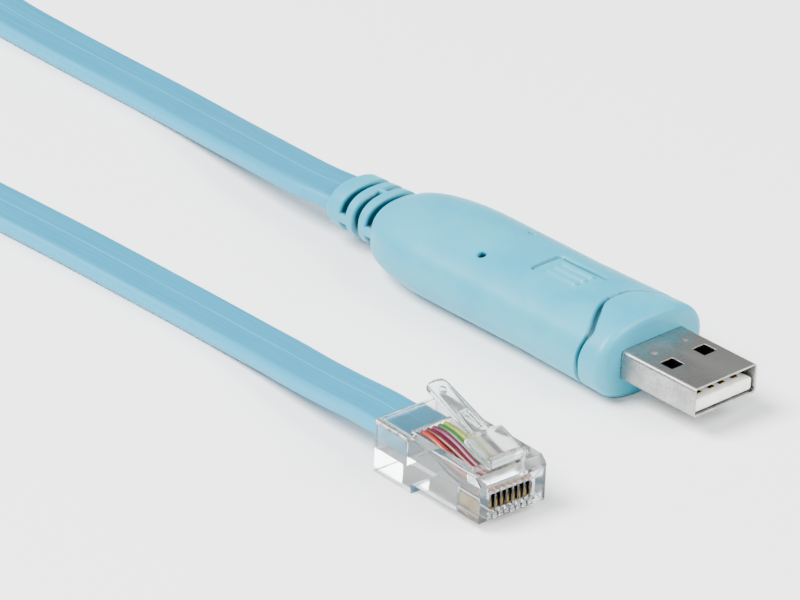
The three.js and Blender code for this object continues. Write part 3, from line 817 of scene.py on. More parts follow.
@dataclass
class MouldedHousing:
    """The soft oval moulding round the USB plug, in one with its slotted strain relief."""

    nose: float = 22.8
    middle: float = 4.8
    shoulder: float = -13.2
    relief: float = -26.6
    tail: float = -36.9
    centre_height: float = 5.6
    half: Pair = (9.7, 5.7)
    swell: float = 0.4
    roundness: float = 2.4
    fillet: float = 1.3
    fillet_steps: int = 10
    relief_half: Pair = (5.4, 3.8)
    relief_end_half: Pair = (5.2, 3.4)
    end_round: float = 0.8
    end_steps: int = 7
    columns: int = 240
    crown_half: float = 6.3
    crown_density: float = 2.6
    groove_stops: tuple[Pair, ...] = ((0, 7.5), (60, 4.3), (95, 4.7), (150, 5.2), (180, 5.2))
    groove_depth: float = 0.8
    groove_half: float = 0.25
    groove_wall: float = 0.12
    groove_slope: Pair = (0.16, 0.75)
    panel_front: float = 11.3
    panel_rear: float = 1.6
    panel_half: float = 3.1
    panel_corner: float = 0.7
    panel_depth: float = 0.4
    panel_edge: float = 0.58
    panel_edge_half: float = 0.09
    panel_edge_share: float = 0.6
    bar_half: float = 3.0
    bar_end: float = 0.3
    bar_pitch: float = 1.6
    lamp_place: Pair = (-5.8, 5.0)
    lamp_radius: float = 0.62
    lamp_depth: float = 1.6
    lens_clearance: float = 0.12
    lens_rise: float = 0.45
    lens_dome: float = 0.3
    lens_wall: float = 0.6
    slot_places: tuple[float, ...] = (-28.0, -30.65, -33.3)
    slot_half: float = 0.65
    slot_depth: Pair = (2.3, 2.5)
    side_bridge: Pair = (-0.35, 0.7)
    crown_bridge: float = 0.26
    bridge_wall: float = 0.14
    mouth: Pair = (12.05, 4.55)
    mouth_squareness: int = 14
    mouth_depth: float = 5.2
    cable_mouth: Pair = (8.7, 2.6)
    cable_mouth_squareness: int = 5
    cable_mouth_depth: float = 2.0

    def around(self) -> Array:
        """Places section angles evenly along the oval's outline, closer together over the crown.

        Returns:
            Angles in radians, anticlockwise from +Y as seen from the nose.
        """
        fine = np.linspace(0, 2 * math.pi, 20001)
        y, z = self.oval(fine, self.half)
        crown = (np.abs(y[:-1]) < self.crown_half) & (z[:-1] > 0)
        pace = np.hypot(np.diff(y), np.diff(z)) * np.where(crown, self.crown_density, 1.0)
        path = np.concatenate([[0], np.cumsum(pace)])
        return np.interp(np.linspace(0, path[-1], self.columns + 1)[:-1], path, fine)

    def oval(self, angle: Array, halves: tuple[Any, Any]) -> tuple[Array, Array]:
        """Gives the oval's Y and Z.

        It is a superellipse: the angle's cosine and sine are raised to 2 over the roundness.

        Args:
            angle: Angles in radians.
            halves: Half the width and half the height, numbers or columns of them.

        Returns:
            Y, and Z from the oval's middle.
        """
        power = 2 / self.roundness
        c, s = np.cos(angle), np.sin(angle)
        return halves[0] * np.sign(c) * np.abs(c) ** power, halves[1] * np.sign(s) * np.abs(s) ** power

    def outline(self, x: Array, angle: Array, halves: tuple[Any, Any]) -> Array:
        """Gives rings of the oval at each X."""
        y, z = self.oval(angle, halves)
        return lattice(x, y, z + self.centre_height)

    def halves(self, x: Array) -> tuple[Array, Array]:
        """Gives half the width and half the height along the body.

        From the middle to the nose they grow in proportion; behind the shoulder they follow a quarter ellipse
        down to the strain relief, which then narrows in proportion.

        Args:
            x: Places along the body.

        Returns:
            Half the width and half the height at each.
        """
        grow = self.swell * np.clip((x - self.middle) / (self.nose - self.middle), 0, 1)
        drop = np.clip((self.shoulder - x) / (self.shoulder - self.relief), 0, 1)
        share = np.sqrt(1 - drop * drop)
        end = np.clip((self.relief - x) / (self.relief - self.tail - self.end_round), 0, 1)
        wide, tall = (
            start + (stop - start) * end + (full - start) * share + grow
            for start, stop, full in zip(self.relief_half, self.relief_end_half, self.half)
        )
        return wide, tall

    def groove(self, x: Array, turned: Array) -> Array:
        """Gives the depth of the seam groove.

        Its place behind the nose is eased between the stops by the angle from the crown. Its rear wall is
        steep, and its front wall is a slope that widens between 10 and 66 degrees.

        Args:
            x: Places along the body.
            turned: Degrees from the crown.

        Returns:
            The depth at each point.
        """
        stops = np.array(self.groove_stops, float)
        at = np.clip(np.searchsorted(stops[:, 0], turned, side="left"), 1, len(stops) - 1)
        share = (turned - stops[at - 1, 0]) / (stops[at, 0] - stops[at - 1, 0])
        share = share * share * (3 - 2 * share)
        setback = stops[at - 1, 1] + (stops[at, 1] - stops[at - 1, 1]) * share
        ahead = x - (self.nose - setback)
        narrow, more = self.groove_slope
        slope = narrow + more * ease(turned, 10, 28) * (1 - ease(turned, 45, 66))
        rear = ease(ahead, -self.groove_half - self.groove_wall, -self.groove_half)
        front = 1 - ease(ahead, self.groove_half - 0.05, self.groove_half + slope)
        return self.groove_depth * np.minimum(rear, front)

    def panel(self, x: Array, y: Array, up: Array) -> Array:
        """Gives the depth of the panel on the crown.

        It is a shallow tray with round corners, a fine groove along its edge and three bars in it. The groove
        is a bell curve of the distance past the corners' centres.

        Args:
            x: Places along the body.
            y: Places across it.
            up: Heights above its middle.

        Returns:
            The depth at each point.
        """
        middle = (self.panel_front + self.panel_rear) / 2
        half = (self.panel_front - self.panel_rear) / 2
        past = np.hypot(
            np.maximum(np.abs(x - middle) - half + self.panel_corner, 0),
            np.maximum(np.abs(y) - self.panel_half + self.panel_corner, 0),
        )
        groove = np.exp(-(((past - self.panel_edge) / self.panel_edge_half) ** 2))
        tray = 1 - ease(past, 0.62, 0.74) + self.panel_edge_share * groove
        across = np.minimum(np.abs(y), np.abs(np.abs(y) - self.bar_pitch))
        along = np.maximum(np.abs(x - middle) - self.bar_half + self.bar_end, 0)
        bars = 1 - ease(np.hypot(along, across), 0.32, 0.46)
        return self.panel_depth * np.where(up > 0, tray * (1 - bars), 0)

    def lamps(self, x: Array, y: Array, up: Array) -> Array:
        """Gives the depth of the two lamp holes: round pits with a softened rim.

        Args:
            x: Places along the body.
            y: Places across it.
            up: Heights above its middle.

        Returns:
            The depth at each point.
        """
        away = np.hypot(x - self.lamp_place[0], np.abs(y) - self.lamp_place[1])
        pit = 1 - ease(away, self.lamp_radius - 0.14, self.lamp_radius + 0.1)
        return self.lamp_depth * np.where(up > 0, pit, 0)

    def slots(self, x: Array, y: Array, z: Array) -> Array:
        """Tells how far each point lies in a slot of the strain relief.

        The outer two rows are bridged at the sides just below mid-height, and the middle row over the crown.

        Args:
            x: Places along the body.
            y: Places across it.
            z: Heights above its middle.

        Returns:
            0 outside the slots and 1 inside them, eased at their walls.
        """
        low, half = self.side_bridge
        side = ease(np.abs(z - low), half, half + self.bridge_wall)
        crown = ease(np.abs(y), self.crown_bridge, self.crown_bridge + self.bridge_wall)
        total = np.zeros_like(z)
        for place, open_share in zip(self.slot_places, (side, crown, side)):
            walls = 1 - ease(np.abs(x - place), self.slot_half - 0.06, self.slot_half + 0.04)
            total = np.maximum(total, walls * open_share)
        return total

    def stations(self) -> Array:
        """Places rings along the body, close together where walls and edges need them.

        Returns:
            The rings' places, from the nose to the tail.
        """
        crown = ((19.2, 10), (14.4, 52), (11.6, 8), (11.0, 8), (9.7, 7), (9.2, 6), (3.7, 14), (3.2, 6))
        waist = ((1.9, 7), (1.3, 8), (-4.8, 14), (-6.8, 18), (-13.2, 12), (-24.0, 30), (-26.5, 16))
        relief = ((-26.6, 2), (-27.2, 4), (-28.8, 22), (-29.8, 7), (-31.5, 23), (-32.5, 7), (-34.1, 22))
        end = (self.tail + self.end_round, 8)
        return steps(self.nose - self.fillet, *crown, *waist, *relief, end)

    def end_rings(self, rim: Array, mouth: Pair, squareness: int, depth: float) -> Array:
        """Gives the rings of an end face, from its rim in to the mouth, and down the mouth's walls.

        The mouth is a superellipse, met where the rays to the rim cross it.

        Args:
            rim: The end face's outer ring.
            mouth: The mouth's full width and height.
            squareness: The superellipse's power.
            depth: How far the walls run along X.

        Returns:
            The rings, from the rim inwards.
        """
        ray = np.arctan2(rim[:, 2] - self.centre_height, rim[:, 1])
        c, s = np.cos(ray), np.sin(ray)
        powers = (np.abs(c) / (mouth[0] / 2)) ** squareness + (np.abs(s) / (mouth[1] / 2)) ** squareness
        reach = powers ** (-1 / squareness)
        edge = lattice(rim[:, 0], reach * c, self.centre_height + reach * s)
        share = np.array([0.12, 0.3, 0.6, 0.85, 0.97, 1.0])[:, None, None]
        walls = np.repeat(edge[None], 3, axis=0)
        walls[:, :, 0] += (np.array([0.15, 0.5, 1.0]) * depth)[:, None]
        return np.concatenate([rim[None] * (1 - share) + edge[None] * share, walls])

    def rings(self) -> tuple[Array, Array]:
        """Works out the whole skin as rings, from inside the shell's mouth to inside the cable's mouth.

        Returns:
            The rings, and how deep in a groove, hole or slot each of their points lies.
        """
        angle = self.around()
        x = self.stations()[:, None]
        wide, tall = self.halves(x)
        y, z = self.oval(angle, (wide, tall))
        turned = np.abs((np.degrees(angle) - 90 + 540) % 360 - 180)
        slot, panel = self.slots(x, y, z), self.panel(x, y, z)
        sunk = self.groove(x, turned) + self.lamps(x, y, z)
        # Depth below the skin for the painted shade in grooves, lamp holes and slots; the panel's edge groove
        # counts four times.
        deep = sunk + np.maximum(panel - self.panel_depth, 0) * 4 + slot * self.slot_depth[0]
        sunk = sunk + panel
        across, through = (
            full - sunk - slot * depth for full, depth in zip((wide, tall), self.slot_depth)
        )
        body = self.outline(x, angle, (across, through))

        turn = np.linspace(math.pi / 2, 0, self.fillet_steps + 1)[:-1, None]
        inset = self.fillet * (1 - np.cos(turn))
        front_x = self.nose - self.fillet * (1 - np.sin(turn))
        wide, tall = self.halves(front_x)
        front = self.outline(front_x, angle, (wide - inset, tall - inset))

        turn = np.linspace(0, math.pi / 2, self.end_steps + 1)[1:, None]
        inset = self.end_round * (1 - np.cos(turn))
        back_x = self.tail + self.end_round * (1 - np.sin(turn))
        wide, tall = self.relief_end_half
        back = self.outline(back_x, angle, (wide - inset, tall - inset))

        ahead = self.end_rings(front[0], self.mouth, self.mouth_squareness, -self.mouth_depth)[::-1]
        behind = self.end_rings(
            back[-1], self.cable_mouth, self.cable_mouth_squareness, self.cable_mouth_depth
        )
        whole = np.concatenate([ahead, front, body, back, behind])
        whole[:, :, 2] = np.maximum(whole[:, :, 2], 0)
        more = (len(ahead) + len(front), len(back) + len(behind))
        return whole, np.pad(deep, (more, (0, 0)))

    def build(self, palette: Palette) -> None:
        """Makes the housing and the two lamp lenses in their holes.

        Args:
            palette: The finishes.
        """
        rings, deep = self.rings()
        thing = skin("moulded_housing", rings, palette.housing, lattice(0, 0, deep))
        wear(thing, CABLE_BODY, Slot.HOUSING, "usb_housing")
        for name, side in (("near", -1), ("far", 1)):
            wear(self.lens(f"lamp_lens_{name}", side, palette.lens), CABLE_BODY, None)

    def lens(self, name: str, side: int, material: bpy.types.Material) -> Any:
        """Makes a lamp's lens: a low dome that falls with the square of the distance from its middle.

        Args:
            name: Its name.
            side: -1 for the near side, 1 for the far one.
            material: Its finish.

        Returns:
            The object.
        """
        away = np.linspace(0.05, 1, 8)[:, None]
        angle = np.linspace(0, 2 * math.pi, 25)[None, :-1]
        x, y = self.lamp_place
        share = y / self.half[0]
        top = self.half[1] * (1 - share**self.roundness) ** (1 / self.roundness)
        reach = self.lamp_radius - self.lens_clearance
        up = top - self.lamp_depth + self.lens_rise - self.lens_dome * away**2
        dome = lattice(
            x + reach * away * np.cos(angle), side * y + reach * away * np.sin(angle), self.centre_height + up
        )
        base = dome[-1:] - np.array([0, 0, self.lens_wall])
        return skin(name, np.concatenate([dome, base]), material)


@dataclass
class SteelShell:
    """The USB plug's folded steel shell, with its latching windows and two pressed dimples."""

    tip: float = 36.9
    rear: float = 17.9
    centre_height: float = MouldedHousing.centre_height
    size: Pair = (12.0, 4.5)
    wall: float = 0.3
    corner: float = 0.6
    edge_round: float = 0.05
    window_along: Pair = (28.4, 30.8)
    window_across: Pair = (1.95, 4.35)
    dimple_place: Pair = (26.05, 3.0)
    dimple_radius: float = 0.62
    dimple_depth: float = 0.3
    dot_radius: float = 0.3
    dot_share: float = 0.35

    def build(self, palette: Palette) -> None:
        """Makes the shell as a sheet round the plug, without its windows, and gives it its wall.

        A dimple is a bell curve of the distance from its middle, and so is the small dot between the two.

        Args:
            palette: The finishes.
        """
        width, height = self.size
        half = width / 2 - self.corner
        (back, front), (low, high) = self.window_along, self.window_across
        flat = both_sides(steps(0, (low, 12), (high, 20), (half, 5))) / half
        section = rounded_section(self.size, self.corner, flat, 7, 6)
        windows = ((back, 6), (front, 10))
        x = steps(self.rear, (25.0, 12), (27.1, 20), *windows, (36.2, 16), (self.tip, 5))[:, None]
        y, z = section.T
        along = x - self.dimple_place[0]
        away = np.hypot(along, np.abs(y) - self.dimple_place[1])
        dot = np.exp(-((np.hypot(along, y) / self.dot_radius) ** 2))
        pressed = self.dimple_depth * np.exp(-((away / self.dimple_radius) ** 2) * 2)
        pressed = pressed + self.dot_share * self.dimple_depth * dot
        pressed = np.where(z > height / 2 - 1e-6, pressed, 0)
        points = lattice(x, y, self.centre_height + z - pressed).reshape(-1, 3)
        faces = grid_faces(len(x), len(section))
        middle = points[faces].mean(axis=1)
        across, up = np.abs(middle[:, 1]), np.abs(middle[:, 2] - self.centre_height)
        inside = (middle[:, 0] > back) & (middle[:, 0] < front) & (across > low) & (across < high)
        faces = faces[~(inside & (up > height / 2 - self.corner / 4))]
        thing = piece("steel_shell", points, facing_out(points, faces), palette.steel)
        modifier(thing, "SOLIDIFY", thickness=self.wall * MM, offset=-1.0, use_even_offset=True)
        round_edges(thing, self.edge_round, 50)
        wear(thing, CABLE_BODY, Slot.SHELL, "usb_shell")


@dataclass
class Tongue:
    """The white insulator in the USB plug: a slab in the lower half of the opening and a block behind it."""

    front: float = 36.5
    rear: float = 17.9
    block_front: float = 25.0
    block_ramp: float = 0.2
    bottom: float = 3.85
    slab: float = 1.9
    block: float = 3.5
    width: float = 11.0
    corner: float = 0.45
    front_round: float = 0.25

    def build(self, palette: Palette) -> None:
        """Makes the tongue as sections along the plug; the section's height steps up at the block.

        The front edge is a quarter circle.

        Args:
            palette: The finishes.
        """
        curve, ramp = self.front - self.front_round, self.block_front + self.block_ramp
        x = steps(self.front, (curve, 5), (ramp, 12), (self.block_front, 3), (self.rear, 6))[:, None]
        lead = np.clip((x - curve) / self.front_round, 0, 1)
        inset = self.front_round * (1 - np.sqrt(1 - lead * lead))
        height = self.slab + (self.block - self.slab) * (1 - ease(x, self.block_front, ramp))
        y, z = rounded_section((self.width, self.slab), self.corner, 13, 5, 6).T
        lift = (z / self.slab + 0.5) * (height - 2 * inset)
        rings = lattice(x, y * (1 - 2 * inset / self.width), self.bottom + inset + lift)
        wear(skin("usb_tongue_moulding", rings, palette.nylon), CABLE_BODY, Slot.TONGUE, "usb_tongue")


# ---------------------------------------------------------------- cable


@dataclass
class Hank:
    """Where the spare cable is wound: a racetrack on edge, two layers high."""

    centre: Pair = (-197.0, -14.2)
    run: float = 70.0
    outer: float = 24.5
    lane: float = 3.1
    layer_heights: Pair = (5.5, 14.3)
    arcs: int = 5
    arc_steps: int = 26
    run_steps: int = 8
    lift_inset: float = 0.8

    def arc(self, radii: Pair, right: bool, heights: Pair, dip: float = 0.0) -> Array:
        """Gives a half turn at one end of the track.

        The radius eases from start to end and dips by a half sine, and the height eases too.

        Args:
            radii: The radius at the start and at the end.
            right: Whether it lies at the end towards +X.
            heights: The height at the start and at the end.
            dip: How far inwards the half turn's middle lies.

        Returns:
            The stations after the first.
        """
        share = np.linspace(0, 1, self.arc_steps + 1)[1:]
        angle = math.pi * share + (-math.pi / 2 if right else math.pi / 2)
        radius = radii[0] + (radii[1] - radii[0]) * ease(share, 0, 1) - dip * np.sin(math.pi * share)
        side = self.run / 2 if right else -self.run / 2
        return lattice(
            self.centre[0] + side + radius * np.cos(angle),
            self.centre[1] + radius * np.sin(angle),
            heights[0] + (heights[1] - heights[0]) * ease(share, 0.05, 0.95),
        )

    def straight(self, radius: float, top: bool, height: float) -> Array:
        """Gives a run of the track, the top one towards -X and the bottom one towards +X.

        Args:
            radius: How far the run lies from the track's middle.
            top: Whether it is the run towards +Y.
            height: Its height.

        Returns:
            The stations after the first.
        """
        share = np.linspace(-0.5, 0.5, self.run_steps + 1)[1:]
        x = self.centre[0] + (-share if top else share) * self.run
        return lattice(x, self.centre[1] + (radius if top else -radius), height)

    def line(self) -> Array:
        """Gives the cable's middle line through the hank.

        The lower layer winds inwards by half a lane a half turn, the cable climbs round the right end inside
        both layers, and the upper layer winds back out to the bottom run.

        Returns:
            The stations after the first.
        """
        low, high = self.layer_heights
        parts, radius = [], self.outer
        for height, step in ((low, -self.lane / 2), (high, self.lane / 2)):
            for k in range(self.arcs):
                parts.append(self.straight(radius, k % 2 == 0, height))
                parts.append(self.arc((radius, radius + step), k % 2 == 1, (height, height)))
                radius += step
            parts.append(self.straight(radius, self.arcs % 2 == 0, height))
            if height == low:
                parts.append(self.arc((radius, radius), True, (low, high), self.lift_inset))
        return np.concatenate(parts)


@dataclass
class PlugPlace:
    """Where the modular plug lies: its own frame starts under its front face and points along +X."""

    x: float = 37.5
    y: float = -40.74
    yaw: float = -3.04

    def put(self, points: Array) -> Array:
        """Turns and moves points from the plug's frame to the part's frame.

        Args:
            points: Points in the plug's frame.

        Returns:
            The same points in the part's frame.
        """
        turn = math.radians(self.yaw)
        c, s = math.cos(turn), math.sin(turn)
        x, y = points[..., 0], points[..., 1]
        return lattice(self.x + c * x - s * y, self.y + s * x + c * y, points[..., 2])


def smooth_route(points: Array, spacing: float) -> Array:
    """Runs a smooth curve through route points and places stations evenly on it.

    It is the centripetal Catmull-Rom curve: each stretch is the cubic whose end slopes come from the chords
    either side, weighted by the square roots of their lengths, with the end points mirrored outwards.

    Args:
        points: The route's points.
        spacing: About how far apart the stations are.

    Returns:
        The stations.
    """
    padded = np.concatenate([[2 * points[0] - points[1]], points, [2 * points[-1] - points[-2]]])
    knots = np.sqrt(np.linalg.norm(np.diff(padded, axis=0), axis=1))
    before, here, after = knots[:-2, None], knots[1:-1, None], knots[2:, None]
    p0, p1, p2, p3 = padded[:-3], padded[1:-2], padded[2:-1], padded[3:]
    start = ((p1 - p0) / before - (p2 - p0) / (before + here) + (p2 - p1) / here) * here
    end = ((p2 - p1) / here - (p3 - p1) / (here + after) + (p3 - p2) / after) * here
    t = np.linspace(0, 1, 60)[None, :, None]
    cubic = (
        p1[:, None] * (2 * t**3 - 3 * t**2 + 1)
        + start[:, None] * (t**3 - 2 * t**2 + t)
        + p2[:, None] * (3 * t**2 - 2 * t**3)
        + end[:, None] * (t**3 - t**2)
    )
    fine = np.concatenate([cubic[:, :-1].reshape(-1, 3), points[-1:]])
    path = travelled(fine)
    even = np.linspace(0, path[-1], max(2, int(round(path[-1] / spacing)) + 1))
    return np.stack([np.interp(even, path, fine[:, k]) for k in range(3)], axis=-1)


@dataclass
class FlatCable:
    """The flat eight-wire cable, from the strain relief through the hank into the modular plug."""

    width: float = 8.6
    thickness: float = 2.5
    corner: float = 1.1
    rest: float = 1.3
    floor_gap: float = 0.02
    ridge: float = 0.08
    ridge_half: float = 0.16
    spacing: float = 2.2
    usb_roll_from: float = 0.76
    plug_roll_from: float = 0.7
    edge_run: float = 11.4
    jacket_end: float = -16.26
    plug_rear: float = -21.46
    height_in_plug: float = 5.0
    inside_relief: float = 1.6

    def into_hank(self, route: list[Point], hank: Hank, side: int) -> Array:
        """Adds the two points where a stretch joins the hank.

        Args:
            route: The stretch's points up to there.
            hank: The hank.
            side: 1 for its top run and lower layer, -1 for its bottom run and upper layer.

        Returns:
            All the stretch's points.
        """
        y, z = hank.centre[1] + side * hank.outer, hank.layer_heights[0 if side > 0 else 1]
        return np.array([*route, (-150.6, y, z), (-162, y, z)], float)

    def from_usb(self, hank: Hank) -> Array:
        """Gives the stretch from the strain relief to the hank's top run.

        Args:
            hank: The hank.

        Returns:
            The route's points.
        """
        start, rest = MouldedHousing.tail, self.rest
        route = [
            (start + self.inside_relief, 0, 5.6), (start - 1.5, 0, 5.58), (-43.9, -0.2, 5.35),
            (-50.9, 0.5, 4.85), (-57.9, 1.8, 4), (-65.9, 3.5, 2.85), (-73.9, 5, 1.9), (-82.9, 5.9, 1.4),
            (-93.9, 6.1, rest), (-106.9, 6.3, rest), (-117.9, 6.8, rest), (-125.4, 7.3, 1.9),
            (-131.4, 8, 2.9), (-137.9, 8.9, 4.4), (-144.9, 9.8, 5.2),
        ]
        return self.into_hank(route, hank, 1)

    def from_plug(self, hank: Hank, place: PlugPlace) -> Array:
        """Gives the stretch from inside the modular plug to the hank's bottom run.

        Args:
            hank: The hank.
            place: Where the plug lies.

        Returns:
            The route's points.
        """
        rest = self.rest
        inside = lattice(np.array([self.jacket_end, self.plug_rear]), 0, self.height_in_plug)
        route = [
            (9.1, -39.1, 4.85), (2.6, -38.5, 4.2), (-4.9, -37.4, 3.3), (-12.9, -36, 2.4),
            (-20.9, -35, 1.65), (-29.9, -34.5, 1.35), (-41.9, -34.4, rest), (-55.9, -34.4, rest),
            (-69.9, -34.7, rest), (-81.9, -35.2, 1.4), (-93.9, -35.9, 2.1), (-105.9, -36.8, 4),
            (-117.9, -37.6, 6.9), (-129.9, -38.3, 10), (-139.9, -38.6, 12.4),
        ]
        return np.concatenate([place.put(inside), self.into_hank(route, hank, -1)])

    def across(self, line: Array, roll_from: float) -> Array:
        """Gives the direction across the cable at each station: level, then rolled on edge.

        It is the level side direction, turned about the line by a quarter turn that eases in, and is over
        where the last millimetres run on edge.

        Args:
            line: The stretch's stations.
            roll_from: Where the turn starts, as a share of the way to its end.

        Returns:
            Unit directions.
        """
        upright = 1 - self.edge_run / (len(line) * self.spacing)
        way = directions(line)
        side = unit(lattice(-way[:, 1], way[:, 0], 0))
        share = ease(np.linspace(0, 1, len(line)), roll_from * upright, upright)[:, None]
        roll = (math.pi / 2) * share
        return side * np.cos(roll) + np.cross(way, side) * np.sin(roll)

    def route(self, hank: Hank, place: PlugPlace) -> tuple[Array, Array]:
        """Joins the three stretches.

        Args:
            hank: The hank.
            place: Where the plug lies.

        Returns:
            The middle line, and the direction across the cable at each of its stations.
        """
        first = smooth_route(self.from_usb(hank), self.spacing)
        last = smooth_route(self.from_plug(hank, place), self.spacing)
        wound = hank.line()[:-1]
        sides = [
            self.across(first, self.usb_roll_from),
            np.tile([0.0, 0.0, 1.0], (len(wound), 1)),
            self.across(last, self.plug_roll_from)[::-1],
        ]
        return np.concatenate([first, wound, last[::-1]]), np.concatenate(sides)

    def section(self) -> Array:
        """Gives the jacket's section.

        It is a flat oval with a low ridge, a bell curve, along the middle of its top and bottom.

        Returns:
            The points, one row each: across and up.
        """
        half = self.width / 2 - self.corner
        flat = both_sides(steps(0, (0.36, 3), (half, 6)) / half)
        points = rounded_section((self.width, self.thickness), self.corner, flat, 3, 6)
        bump = self.ridge * np.exp(-((points[:, 0] / self.ridge_half) ** 2))
        points[:, 1] += np.sign(points[:, 1]) * bump
        return points

    def build(self, palette: Palette, hank: Hank, place: PlugPlace) -> tuple[Any, Array]:
        """Makes the cable: its section carried along the route.

        Args:
            palette: The finishes.
            hank: The hank.
            place: Where the plug lies.

        Returns:
            The object and the middle line in millimetres.
        """
        line, side = self.route(hank, place)
        way = directions(line)
        side = unit(side - np.einsum("ij,ij->i", side, way)[:, None] * way)
        over = np.cross(way, side)
        y, z = self.section().T
        rings = line[:, None] + y[:, None] * side[:, None] + z[:, None] * over[:, None]
        rings[:, :, 2] = np.maximum(rings[:, :, 2], self.floor_gap)
        thing = skin("flat_cable", rings, palette.jacket, lattice(travelled(line)[:, None], y, z))
        wear(thing, CABLE_BODY, Slot.JACKET, "cable_from_usb", "cable_hank", "cable_to_plug")
        return thing, line


@dataclass
class Ties:
    """Two hook-and-loop straps, one round each run of the hank."""

    width: float = 8.0
    thickness: float = 0.8
    edge_round: float = 0.3
    inner_width: float = 10.6
    low: float = 0.95
    high: float = 18.85
    corner: float = 1.2

    def build(self, palette: Palette, hank: Hank) -> list[Any]:
        """Makes both straps: a flat section carried round a rounded rectangle.

        Args:
            palette: The finishes.
            hank: The hank.

        Returns:
            The two objects.
        """
        reach = hank.outer - hank.arcs * hank.lane / 4
        middle = (self.low + self.high) / 2
        size = (self.inner_width + self.thickness, self.high - self.low + self.thickness)
        path = rounded_section(size, self.corner + self.thickness / 2, 15, 17, 9)
        way = directions(np.concatenate([path[-1:], path, path[:1]]))[1:-1]
        outward = np.stack([-way[:, 1], way[:, 0]], axis=-1)
        outward *= np.sign(np.einsum("ij,ij->i", outward, path)).reshape(-1, 1)
        across, through = rounded_section((self.width, self.thickness), self.edge_round, 11, 2, 4).T
        spot = lattice(travelled(path)[:, None], across, through).reshape(-1, 3)
        quads = grid_faces(len(path), len(across), looped=True)
        made = []
        for name, side, node in (("hank_strap_far", 1, "hank_tie_1"), ("hank_strap_near", -1, "hank_tie_2")):
            points = lattice(
                hank.centre[0] + across,
                hank.centre[1] + side * reach + path[:, None, 0] + outward[:, None, 0] * through,
                middle + path[:, None, 1] + outward[:, None, 1] * through,
            ).reshape(-1, 3)
            thing = piece(name, points, facing_out(points, quads), palette.strap, spot)
            made.append(wear(thing, CABLE_BODY, Slot.TIE, node))
        return made


# ---------------------------------------------------------------- modular plug


